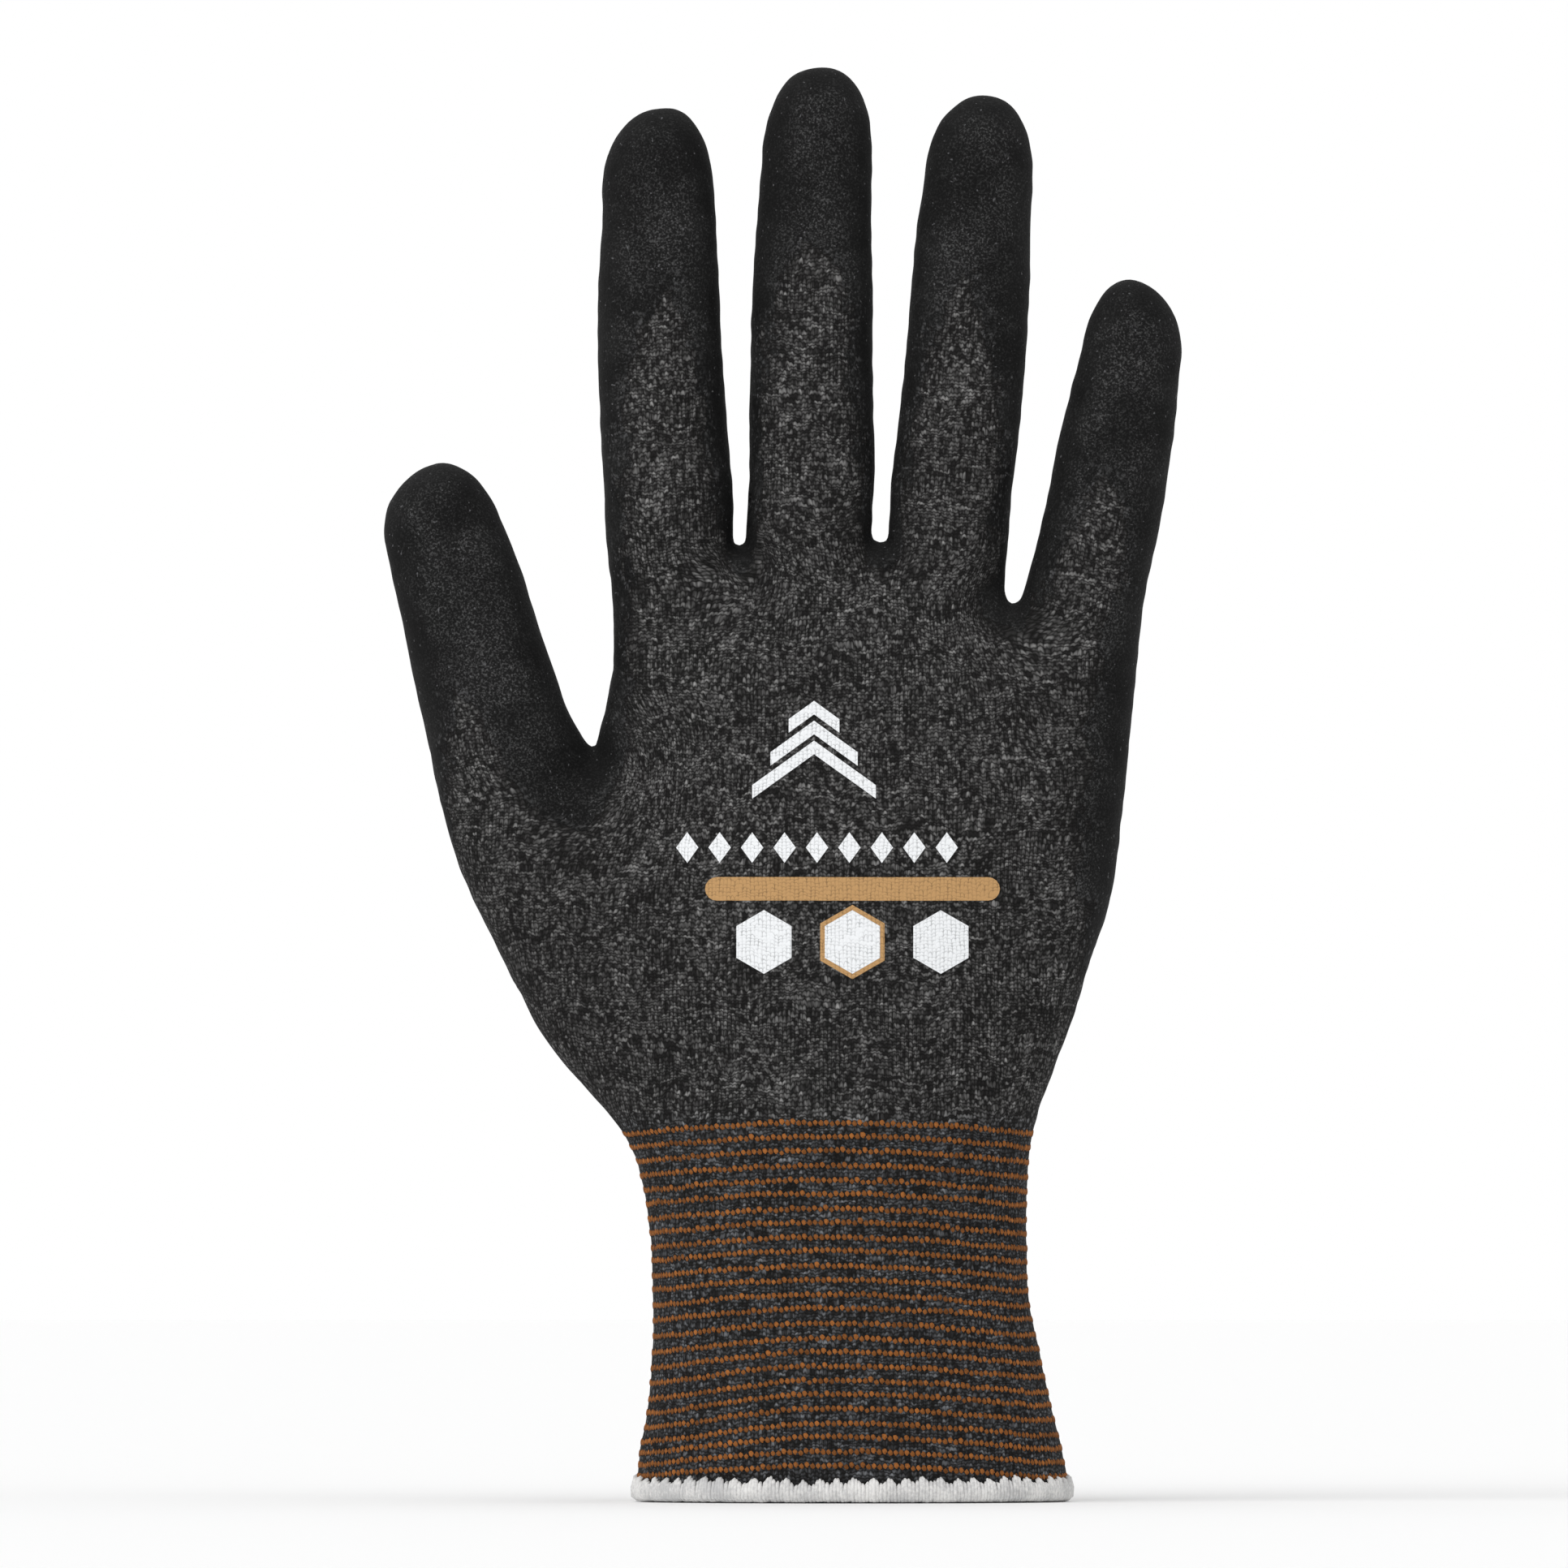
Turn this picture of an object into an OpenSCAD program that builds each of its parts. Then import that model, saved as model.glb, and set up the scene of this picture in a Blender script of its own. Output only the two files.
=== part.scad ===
// Knitted cut resistant glove for the right hand, with a dipped coating over the palm and fingertips.
// Sizes are in mm. The origin is the centre of the cuff opening and +Z runs to the fingertips.
// The back of the hand faces -Y, the palm faces +Y and the thumb is on the -X side.
// A reach is [to the thumb side, to the little finger side], from the middle plane x = 0.

/* [Fabric] */
// Thickness of the knitted wall
knit_t = 1.4; // [1:0.1:2]
// Thickness of the dipped coating
coat_t = 0.6; // [0.4:0.05:1]
// Gap between layers that are bonded or stitched together
bond_gap = 0.05; // [0.03:0.01:0.1]
// Gap between sections that fold against each other
fold_gap = 0.4; // [0.3:0.05:0.8]

/* [Cuff] */
// Reach of the hem
hem_reach = [37.3, 37.3]; // [33:0.1:42]
// Depth of the hem, from back to palm side
hem_d = 50; // [45:0.5:56]
// Height of the hem's binding
hem_h = 3.8; // [2.5:0.1:5]
// Thickness of the hem's binding
hem_t = 0.8; // [0.5:0.1:1.2]
// Height of the wrist, where the cuff is narrowest
wrist_z = 41; // [34:0.5:46]
// Reach of the wrist
wrist_reach = [34.1, 29.6]; // [27:0.1:38]
// Depth of the wrist
wrist_d = 44; // [40:0.5:48]
// Height where the cuff starts to widen to the hand
flare_z = 55; // [50:0.5:60]
// Reach where the cuff starts to widen
flare_reach = [35.9, 29.8]; // [28:0.1:40]
// Length of the cuff, from the hem to the heel of the hand
cuff_len = 65; // [62:0.5:70]
// Reach where the cuff meets the hand
cuff_reach = [41, 31.4]; // [30:0.1:45]
// Depth where the cuff meets the hand
cuff_d = 46; // [42:0.5:50]
// Number of coloured courses round the cuff
stripe_n = 25; // [15:1:28]
// Height of one coloured course
stripe_h = 0.8; // [0.5:0.05:1.1]
// Thickness of the coloured yarn
stripe_t = 0.5; // [0.3:0.05:0.8]
// Thickness of the elastic yarn inside the cuff
elastic_t = 0.6; // [0.4:0.05:0.9]
// Clearance between the cuff's yarns and the knit they lie on
yarn_gap = 0.12; // [0.08:0.01:0.2]

/* [Hand] */
// Height of the heel of the hand above the cuff
heel_rise = 14; // [9:0.5:20]
// How far the heel lies inside the reach at the thumb crotch
heel_in = [19.4, 10.7]; // [7:0.1:24]
// Depth of the heel
heel_d = 46; // [42:0.5:50]
// Height of the ball of the thumb above the cuff
ball_rise = 39; // [32:0.5:45]
// How far the ball of the thumb lies inside the reach at the thumb crotch
ball_in = [6.7, 3]; // [1:0.1:10]
// Depth of the ball of the thumb
ball_d = 40; // [36:0.5:44]
// Height of the thumb crotch above the cuff
crotch_rise = 61; // [55:0.5:66]
// Width of the palm without the thumb, at the thumb crotch
palm_w = 89.9; // [84:0.1:96]
// Sideways place of the middle of the palm
palm_x = 2.15; // [0:0.05:4]
// Depth of the palm at the thumb crotch
palm_d = 32; // [29:0.5:36]
// Height of the knuckle line above the thumb crotch, at the middle of the hand
fold_rise = 12; // [9:0.5:15]
// Slope of the knuckle line down to the little finger, in degrees
fold_lean = 4; // [0:0.5:6]
// Depth of the hand at the knuckle line
fold_d = 29; // [26:0.5:32]
// Sideways place of the middle of the four fingers
knuckle_x = 3.85; // [2:0.05:6]
// Depth of the hand at the finger roots
knuckle_d = 23.4; // [21.5:0.1:26]
// Shift of the knuckles to the back of the hand
knuckle_shift = 3; // [0:0.25:5]

/* [Index, middle, ring and little finger] */
// Length from the root to the tip
finger_len = [78, 83, 81.5, 61]; // [54:0.5:92]
// Width at the root
finger_w = [21.8, 21.8, 21, 20.4]; // [18:0.1:24]
// Width where the round tip starts
finger_tip_w = [18, 18.6, 18.2, 16]; // [14:0.1:21]
// Lean to the little finger side, in degrees
finger_lean = [-1.9, 0.8, 4.5, 9.3]; // [-4:0.1:12]
// Height of the root above the thumb crotch
finger_rise = [33.5, 35, 32, 21.5]; // [19:0.5:40]
// Distance from the root to the middle joint
finger_mid = [26.5, 29, 27.5, 20]; // [16:0.5:32]
// Distance from the root to the end joint
finger_end = [48.5, 54, 51.5, 36.5]; // [30:0.5:57]
// Distance from the root that the bare knit reaches up the back
knit_tongue = [44, 53, 47.5, 25.5]; // [12:0.5:56]
// Gap between two fingers at their roots
crotch_gap = 2.2; // [1:0.1:4]

/* [Thumb] */
// Length from the crotch line to the tip
thumb_len = 52.5; // [44:0.5:60]
// Distance of the thumb's axis from the edge of the palm, at the crotch line
thumb_out = 15.7; // [14:0.1:17]
// Reach of the thumb from its axis, at the crotch line
thumb_side = 13.3; // [12:0.1:15]
// Depth at the crotch line
thumb_root_d = 26; // [24:0.5:28]
// Width above the crotch
thumb_w = 23.8; // [21:0.1:27]
// Width where the round tip starts
thumb_tip_w = 19.2; // [17:0.1:23]
// Lean away from the hand, in degrees
thumb_lean = 15.5; // [10:0.5:20]
// Distance from the crotch line to the end joint
thumb_end = 25; // [20:0.5:29]
// Distance from the crotch line that the bare knit reaches up the back
thumb_tongue = 10; // [4:0.5:16]
// Gap between the thumb and the palm at the crotch line
thumb_gap = 0.8; // [0.5:0.1:2]

/* [Digits] */
// Depth of a digit at its root, as a share of its width
root_depth = 1.05; // [0.95:0.01:1.1]
// Depth of a digit at its tip, as a share of its width
tip_depth = 0.84; // [0.7:0.01:1]
// Bend of a digit's tip towards the palm
curl = 6; // [0:0.5:9]
// Height over which a squared root turns into a round digit
root_blend = 6; // [5:0.5:9]

/* [Coating] */
// Height of the lower edge of the coating on the palm, above the cuff
coat_rise = 19; // [11:0.5:27]
// Width of the coated edge on the back of the hand, at the thumb and the little finger side
edge_w = [4, 8]; // [2:0.5:12]
// Radius of the coated patch at the thumb crotch
patch_r = 13; // [8:0.5:16]
// Width of the bare knit at a finger's root, as a share of the finger's width
tongue_share = 0.76; // [0.5:0.02:0.9]

/* [Hidden] */
// Number of points round the cuff and hand, and round a digit
hand_n = 32;
digit_n = 18;
// How square an oval is: 2 is an ellipse, and more is squarer
cuff_square = 2.2;
palm_square = 3;
knuckle_square = 4;
thumb_square = 2.6;
digit_square = 2.3;
// Angles of the rings in a round tip
dome_angles = [0, 32, 58, 78];
// How far the window cutters reach, and where they start behind the middle of a section
cut_reach = 80;
cut_start = 1;
// How far a window runs past the ends of its section
window_over = 2;
// Offsets of each layer from the outer surface of the coated glove
knit_out = -(coat_t + bond_gap);
knit_in = knit_out - knit_t;
coat_in = -coat_t;
// Gap between neighbouring squared roots
touch_gap = 0.3;

finger_names = ["index", "middle", "ring", "little"];
fingers = [0:3];

// Heights and reaches that follow from the sizes above
heel_z = cuff_len + heel_rise;
ball_z = cuff_len + ball_rise;
crotch_z = cuff_len + crotch_rise;
fold_z = crotch_z + fold_rise;
finger_root_z = [for (rise = finger_rise) crotch_z + rise];
coat_z = cuff_len + coat_rise;
palm_reach = [palm_w / 2 - palm_x, palm_w / 2 + palm_x];
thumb_x = palm_reach[0] + thumb_out;
thumb_reach = thumb_x + thumb_side;
heel_reach = [thumb_reach - heel_in[0], palm_reach[1] - heel_in[1]];
ball_reach = [thumb_reach - ball_in[0], palm_reach[1] - ball_in[1]];

function sum_to(v, i) = i <= 0 ? 0 : v[i - 1] + sum_to(v, i - 1);
function total(v) = sum_to(v, len(v));
knuckle_w = total(finger_w) + (len(finger_w) - 1) * crotch_gap;
knuckle_l = knuckle_x - knuckle_w / 2;
knuckle_r = knuckle_x + knuckle_w / 2;
function root_x(i) = knuckle_l + sum_to(finger_w, i) + i * crotch_gap + finger_w[i] / 2;

// Line through the finger roots, and the sloping knuckle line
root_line = [for (i = fingers) [root_x(i), finger_root_z[i]]];
root_mean_z = total(finger_root_z) / len(finger_root_z);
function root_z(x) = lookup(x, root_line);
function fold_at(x) = fold_z - tan(fold_lean) * (x - knuckle_x);

// Seat of the thumb
crotch_line = [[0, crotch_z], [1, crotch_z]];
palm_shift = knuckle_shift * 0.8;

// Stations up the cuff and hand: height, two reaches, depth, shift to the back, squareness
stations = [
    [0, hem_reach[0], hem_reach[1], hem_d, 0, cuff_square],
    [wrist_z, wrist_reach[0], wrist_reach[1], wrist_d, 0, cuff_square],
    [flare_z, flare_reach[0], flare_reach[1], wrist_d, 0, cuff_square],
    [cuff_len, cuff_reach[0], cuff_reach[1], cuff_d, 0, cuff_square],
    [heel_z, heel_reach[0], heel_reach[1], heel_d, 0, cuff_square + 0.2],
    [ball_z, ball_reach[0], ball_reach[1], ball_d, palm_shift / 2, palm_square - 0.2],
    [crotch_z, thumb_reach, palm_reach[1], palm_d, palm_shift, palm_square],
];

// Smooth curve through the stations, of one of their columns
function slope(k, i) =
    let (a = max(i - 1, 0))
    let (b = min(i + 1, len(stations) - 1))
    (stations[b][k] - stations[a][k]) / (stations[b][0] - stations[a][0]);
function span(z, i = 0) = i >= len(stations) - 2 || z < stations[i + 1][0] ? i : span(z, i + 1);
function along(z, k) =
    let (i = span(z))
    let (h = stations[i + 1][0] - stations[i][0])
    let (u = (z - stations[i][0]) / h)
    let (start = (1 + 2 * u) * pow(1 - u, 2) * stations[i][k] + u * pow(1 - u, 2) * h * slope(k, i))
    let (end = u * u * (3 - 2 * u) * stations[i + 1][k] + u * u * (u - 1) * h * slope(k, i + 1))
    start + end;

// Points of a rounded oval
function oval(half_w, half_d, square, n) = [
    for (j = [0:n - 1])
        let (c = cos(360 * j / n))
        let (s = sin(360 * j / n))
        [half_w * sign(c) * pow(abs(c), 2 / square), half_d * sign(s) * pow(abs(s), 2 / square)]
];

// Oval between two reaches
function reach_oval(left, right, depth, shift, square, grow) = [
    for (p = oval((left + right) / 2 + grow, depth / 2 + grow, square, hand_n))
        [p[0] + (right - left) / 2, p[1] - shift]
];
function hand_oval(z, grow) =
    reach_oval(along(z, 1), along(z, 2), along(z, 3), along(z, 4), along(z, 5), grow);
function level(outline, z) = [for (p = outline) [p[0], p[1], z]];

// Cuff outline, straight between its rings, so that yarns can follow it
cuff_steps = 8;
cuff_rings_z = [for (i = [0:cuff_steps]) cuff_len * i / cuff_steps];
function cuff_line(k) = [for (z = cuff_rings_z) [z, along(z, k)]];
cuff_lines = [for (k = [0:5]) cuff_line(k)];
function cuff_size(z) = [for (k = [1:3]) lookup(z, cuff_lines[k])];
function cuff_oval(size, grow) = reach_oval(size[0], size[1], size[2], 0, cuff_square, grow);
function larger(a, b) = [for (k = [0:2]) max(a[k], b[k])];
function smaller(a, b) = [for (k = [0:2]) min(a[k], b[k])];

// Oval of the four finger part of the hand at a share of its height
function palm_oval(z, grow) =
    let (t = (z - crotch_z) / (root_mean_z - crotch_z))
    let (left = palm_reach[0] + t * (-knuckle_l - palm_reach[0]))
    let (right = palm_reach[1] + t * (knuckle_r - palm_reach[1]))
    let (depth = lookup(z, [[crotch_z, palm_d], [fold_z, fold_d], [root_mean_z, knuckle_d]]))
    let (shift = palm_shift + t * (knuckle_shift - palm_shift))
    let (square = palm_square + t * (knuckle_square - palm_square))
    reach_oval(left, right, depth, shift, square, grow);

// A digit: place of its root, lean, length, widths, ends of its sections, then its root's two sides,
// depth, squareness, seat line, gap to the seat and shift to the back
function x_of(d) = d[0];
function z_of(d) = d[1];
function lean_of(d) = d[2];
function len_of(d) = d[3];
function w_of(d) = d[4];
function tip_w_of(d) = d[5];
function stops_of(d) = d[6];
function left_of(d) = d[7];
function right_of(d) = d[8];
function root_d_of(d) = d[9];
function square_of(d) = d[10];
function seat_of(d) = d[11];
function seat_gap_of(d) = d[12];
function shift_of(d) = d[13];
function root_side(i, has_neighbour) = finger_w[i] / 2 + (has_neighbour ? (crotch_gap - touch_gap) / 2 : 0);
function finger(i) = [
    root_x(i),
    finger_root_z[i],
    finger_lean[i],
    finger_len[i],
    finger_w[i],
    finger_tip_w[i],
    [0, finger_mid[i], finger_end[i], finger_len[i]],
    root_side(i, i > 0),
    root_side(i, i < 3),
    knuckle_d,
    knuckle_square,
    root_line,
    bond_gap,
    knuckle_shift,
];
thumb = [
    -thumb_x,
    crotch_z,
    -thumb_lean,
    thumb_len,
    thumb_w,
    thumb_tip_w,
    [0, thumb_end, thumb_len],
    thumb_reach - thumb_x,
    thumb_x - palm_reach[0] - thumb_gap,
    thumb_root_d,
    thumb_square,
    crotch_line,
    fold_gap / 2,
    palm_shift,
];

function dome_r(d) = tip_w_of(d) / 2;
function dome_s(d) = len_of(d) - dome_r(d);
function digit_w(d, s) = tip_w_of(d) + (w_of(d) - tip_w_of(d)) * (1 - pow(s / dome_s(d), 3));
function digit_d(d, s) = digit_w(d, s) * (root_depth + (tip_depth - root_depth) * s / dome_s(d));
function digit_at(d, s, p) = [
    x_of(d) + s * sin(lean_of(d)) + p[0] * cos(lean_of(d)),
    curl * pow(s / len_of(d), 2) - shift_of(d) + p[1],
    z_of(d) + s * cos(lean_of(d)) - p[0] * sin(lean_of(d))
];
function root_ring(d, grow) = [
    for (p = oval((left_of(d) + right_of(d)) / 2 + grow, root_d_of(d) / 2 + grow, square_of(d), digit_n))
        let (x = x_of(d) + (right_of(d) - left_of(d)) / 2 + p[0])
        [x, p[1] - shift_of(d), lookup(x, seat_of(d)) + seat_gap_of(d)]
];
function digit_ring(d, s, grow) = [
    for (p = oval(digit_w(d, s) / 2 + grow, digit_d(d, s) / 2 + grow, digit_square, digit_n))
        digit_at(d, s, p)
];
function dome_ring(d, a, grow) = [
    for (p = oval(dome_r(d) + grow, digit_d(d, dome_s(d)) / 2 + grow, digit_square, digit_n))
        digit_at(d, dome_s(d) + (dome_r(d) + grow) * sin(a), p * cos(a))
];
function digit_top(d, grow) = digit_at(d, len_of(d) + grow, [0, 0]);

// Rings of a digit's root, of a plain section and of its tip
function root_rings(d, grow) =
    let (top = stops_of(d)[1] - fold_gap / 2)
    concat(
        [root_ring(d, grow)],
        [for (t = [0, 0.5, 1]) digit_ring(d, root_blend + t * (top - root_blend), grow)]
    );
function mid_rings(d, grow) =
    let (low = stops_of(d)[1] + fold_gap / 2)
    let (top = stops_of(d)[2] - fold_gap / 2)
    [for (t = [0, 0.5, 1]) digit_ring(d, low + t * (top - low), grow)];
function tip_rings(d, grow) =
    let (low = stops_of(d)[len(stops_of(d)) - 2] + fold_gap / 2)
    concat(
        [for (t = [0, 0.5]) digit_ring(d, low + t * (dome_s(d) - low), grow)],
        [for (a = dome_angles) dome_ring(d, a, grow)]
    );

function reversed(v) = [for (i = [len(v) - 1:-1:0]) v[i]];
// Triangles between two rings. Strips that run down are split the other way, so that layers match
function strip(a, b, n, down) = [
    for (j = [0:n - 1], half = [0, 1])
        let (k = (j + 1) % n)
        down
            ? (half == 0 ? [a + j, b + j, a + k] : [b + j, b + k, a + k])
            : (half == 0 ? [a + j, b + j, b + k] : [a + j, b + k, a + k])
];

// Closed skin through a loop of rings, the last of which joins the first
module ring_loop(rings, down_n = 0) {
    n = len(rings[0]);
    m = len(rings);
    faces = [for (i = [0:m - 1]) each strip(i * n, ((i + 1) % m) * n, n, i < down_n)];
    polyhedron(points = [for (r = rings) each r], faces = faces);
}

// Tube with a wall, from its inner and outer rings
module tube(inner, outer) {
    ring_loop(concat(reversed(inner), outer), len(inner) - 1);
}

// Tube with a wall that is closed at the top
module cap(inner, outer, inner_top, outer_top) {
    rings = concat(reversed(inner), outer);
    n = len(rings[0]);
    m = len(rings);
    walls = [for (i = [0:m - 2]) each strip(i * n, (i + 1) * n, n, i < len(inner) - 1)];
    inside = [for (j = [0:n - 1]) [(j + 1) % n, m * n, j]];
    outside = [for (j = [0:n - 1]) [(m - 1) * n + j, m * n + 1, (m - 1) * n + (j + 1) % n]];
    points = concat([for (r = rings) each r], [inner_top, outer_top]);
    polyhedron(points = points, faces = concat(walls, inside, outside));
}

// Flat band round an outline
module band(inner, outer, h) {
    n = len(inner);
    linear_extrude(height = h)
        polygon(
            points = concat(outer, inner),
            paths = [[for (j = [0:n - 1]) j], [for (j = [0:n - 1]) n + j]]
        );
}

module knit_color() {
    color("#3a3a3c") children();
}

module coat_color() {
    color("#161618") children();
}

// Cuff
cuff_low = hem_t + bond_gap;
cuff_top = cuff_len - fold_gap / 2;
cuff_levels = [for (i = [0:cuff_steps]) i == 0 ? cuff_low : i == cuff_steps ? cuff_top : cuff_rings_z[i]];
function cuff_rings(grow) = [for (z = cuff_levels) level(cuff_oval(cuff_size(z), grow), z)];

module cuff_knit() {
    knit_color()
        tube(cuff_rings(knit_in), cuff_rings(knit_out));
}

// Folded binding round the cuff's edge
module hem_overlock() {
    outer = knit_out + bond_gap;
    inner = knit_in - bond_gap;
    profile = [
        [inner, hem_h],
        [inner - hem_t, hem_h],
        [inner - hem_t, 0],
        [outer + hem_t, 0],
        [outer + hem_t, hem_h],
        [outer, hem_h],
        [outer, hem_t],
        [inner, hem_t],
    ];
    color("#ecebe6")
        ring_loop([for (p = profile) level(cuff_oval(cuff_size(p[1]), p[0]), p[1])]);
}

// Coloured courses lie on the outside, with one elastic yarn inside between each pair
stripe_low = hem_h + stripe_h;
stripe_pitch = (cuff_top - 2 * stripe_h - stripe_low) / (stripe_n - 1);

module cuff_stripe_yarns() {
    color("#c2602e")
        for (i = [0:stripe_n - 1]) {
            z = stripe_low + i * stripe_pitch;
            size = larger(cuff_size(z), cuff_size(z + stripe_h));
            translate([0, 0, z])
                band(
                    cuff_oval(size, knit_out + yarn_gap),
                    cuff_oval(size, knit_out + yarn_gap + stripe_t),
                    stripe_h
                );
        }
}

module cuff_elastic_yarns() {
    color("#d8d4c8")
        for (i = [0:stripe_n - 2]) {
            z = stripe_low + (i + 0.5) * stripe_pitch;
            size = smaller(cuff_size(z), cuff_size(z + elastic_t));
            translate([0, 0, z])
                band(
                    cuff_oval(size, knit_in - yarn_gap - elastic_t),
                    cuff_oval(size, knit_in - yarn_gap),
                    elastic_t
                );
        }
}

// Hand from the cuff to the thumb crotch
hand_low = cuff_len + fold_gap / 2;
hand_top = crotch_z - bond_gap;
hand_levels = [for (t = [0, 0.5]) hand_low + t * (coat_z - hand_low)];
coat_levels = [for (t = [0, 0.33, 0.67, 1]) coat_z + t * (hand_top - coat_z)];
function hand_rings(levels, grow) = [for (z = levels) level(hand_oval(z, grow), z)];

module hand_knit() {
    knit_color()
        tube(
            hand_rings(concat(hand_levels, coat_levels), knit_in),
            hand_rings(concat(hand_levels, coat_levels), knit_out)
        );
}

// Hand from the thumb crotch to the knuckle line, and from there to the finger roots
function palm_rings(grow) = [
    for (t = [0, 0.5, 1])
        let (z = crotch_z + t * (fold_z - crotch_z))
        [
            for (p = palm_oval(z, grow))
                [p[0], p[1], (crotch_z + bond_gap) * (1 - t) + (fold_at(p[0]) - fold_gap / 2) * t]
        ]
];
function knuckle_rings(grow) = [
    for (t = [0, 0.33, 0.67, 1])
        let (z = fold_z + t * (root_mean_z - fold_z))
        [
            for (p = palm_oval(z, grow))
                [p[0], p[1], (fold_at(p[0]) + fold_gap / 2) * (1 - t) + (root_z(p[0]) - bond_gap) * t]
        ]
];

module palm_knit() {
    knit_color()
        tube(palm_rings(knit_in), palm_rings(knit_out));
}

module knuckle_knit() {
    knit_color()
        tube(knuckle_rings(knit_in), knuckle_rings(knit_out));
}

// Digits
module root_knit(d) {
    knit_color()
        tube(root_rings(d, knit_in), root_rings(d, knit_out));
}

module mid_knit(d) {
    knit_color()
        tube(mid_rings(d, knit_in), mid_rings(d, knit_out));
}

module tip_knit(d) {
    knit_color()
        cap(tip_rings(d, knit_in), tip_rings(d, knit_out), digit_top(d, knit_in), digit_top(d, knit_out));
}

// Cutter towards the back of the hand, from an outline in x and z
module back_cut(shift) {
    translate([0, -shift - cut_start, 0])
        rotate([90, 0, 0])
            linear_extrude(height = cut_reach)
                children();
}

// Bare window on the back of the hand, below and above the thumb crotch
window_n = 8;
window_low = coat_z - window_over;
window_z = [for (i = [0:window_n]) window_low + (crotch_z - window_low) * i / window_n];
function left_at(z) = along(z, 1);
function right_at(z) = along(z, 2);

module crotch_patch() {
    translate([-palm_reach[0] - thumb_gap / 2, crotch_z])
        circle(r = patch_r, $fn = 40);
}

module hand_window() {
    left = [for (z = window_z) [-left_at(z) + edge_w[0], z]];
    right = [for (z = window_z) [right_at(z) - edge_w[1], z]];
    difference() {
        polygon(concat(right, reversed(left)));
        crotch_patch();
    }
}

module palm_window() {
    low = crotch_z - window_over;
    top = max(finger_root_z) + window_over;
    difference() {
        polygon([
            [-palm_reach[0] + edge_w[0], low],
            [palm_reach[1] - edge_w[1], low],
            [knuckle_r - edge_w[1], top],
            [knuckle_l + edge_w[0], top],
        ]);
        crotch_patch();
    }
}

module hand_coating() {
    coat_color()
        difference() {
            tube(hand_rings(coat_levels, coat_in), hand_rings(coat_levels, 0));
            back_cut(palm_shift)
                hand_window();
        }
}

module palm_coating() {
    coat_color()
        difference() {
            tube(palm_rings(coat_in), palm_rings(0));
            back_cut(palm_shift)
                palm_window();
        }
}

module knuckle_coating() {
    coat_color()
        difference() {
            tube(knuckle_rings(coat_in), knuckle_rings(0));
            back_cut(knuckle_shift)
                palm_window();
        }
}

// Bare tongue up the back of a digit, in the digit's own frame
module tongue_cut(d, reach, side) {
    half = w_of(d) * tongue_share / 2;
    steps = 8;
    arch = [for (i = [-steps:steps]) [half * i / steps + side, reach * (1 - pow(i / steps, 2))]];
    translate([x_of(d), 0, z_of(d)])
        rotate([0, lean_of(d), 0])
            back_cut(shift_of(d))
                polygon(concat([[side - half, -root_blend * 2]], arch, [[side + half, -root_blend * 2]]));
}

module root_coating(d, reach, side) {
    coat_color()
        difference() {
            tube(root_rings(d, coat_in), root_rings(d, 0));
            tongue_cut(d, reach, side);
        }
}

module mid_coating(d, reach, side) {
    coat_color()
        difference() {
            tube(mid_rings(d, coat_in), mid_rings(d, 0));
            tongue_cut(d, reach, side);
        }
}

module tip_coating(d) {
    coat_color()
        cap(tip_rings(d, coat_in), tip_rings(d, 0), digit_top(d, coat_in), digit_top(d, 0));
}

// The thumb's bare tongue lies to its outer side
thumb_tongue_x = -thumb_w * (1 - tongue_share) / 2;

cuff_knit();
hem_overlock();
cuff_stripe_yarns();
cuff_elastic_yarns();
hand_knit();
palm_knit();
knuckle_knit();
hand_coating();
palm_coating();
knuckle_coating();
root_knit(finger(0));  // index_root_knit
mid_knit(finger(0));  // index_mid_knit
tip_knit(finger(0));  // index_tip_knit
root_coating(finger(0), knit_tongue[0], 0);  // index_root_coating
mid_coating(finger(0), knit_tongue[0], 0);  // index_mid_coating
tip_coating(finger(0));  // index_tip_coating
root_knit(finger(1));  // middle_root_knit
mid_knit(finger(1));  // middle_mid_knit
tip_knit(finger(1));  // middle_tip_knit
root_coating(finger(1), knit_tongue[1], 0);  // middle_root_coating
mid_coating(finger(1), knit_tongue[1], 0);  // middle_mid_coating
tip_coating(finger(1));  // middle_tip_coating
root_knit(finger(2));  // ring_root_knit
mid_knit(finger(2));  // ring_mid_knit
tip_knit(finger(2));  // ring_tip_knit
root_coating(finger(2), knit_tongue[2], 0);  // ring_root_coating
mid_coating(finger(2), knit_tongue[2], 0);  // ring_mid_coating
tip_coating(finger(2));  // ring_tip_coating
root_knit(finger(3));  // little_root_knit
mid_knit(finger(3));  // little_mid_knit
tip_knit(finger(3));  // little_tip_knit
root_coating(finger(3), knit_tongue[3], 0);  // little_root_coating
mid_coating(finger(3), knit_tongue[3], 0);  // little_mid_coating
tip_coating(finger(3));  // little_tip_coating
root_knit(thumb);  // thumb_root_knit
tip_knit(thumb);  // thumb_tip_knit
root_coating(thumb, thumb_tongue, thumb_tongue_x);  // thumb_root_coating
tip_coating(thumb);  // thumb_tip_coating
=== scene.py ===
import math

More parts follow.
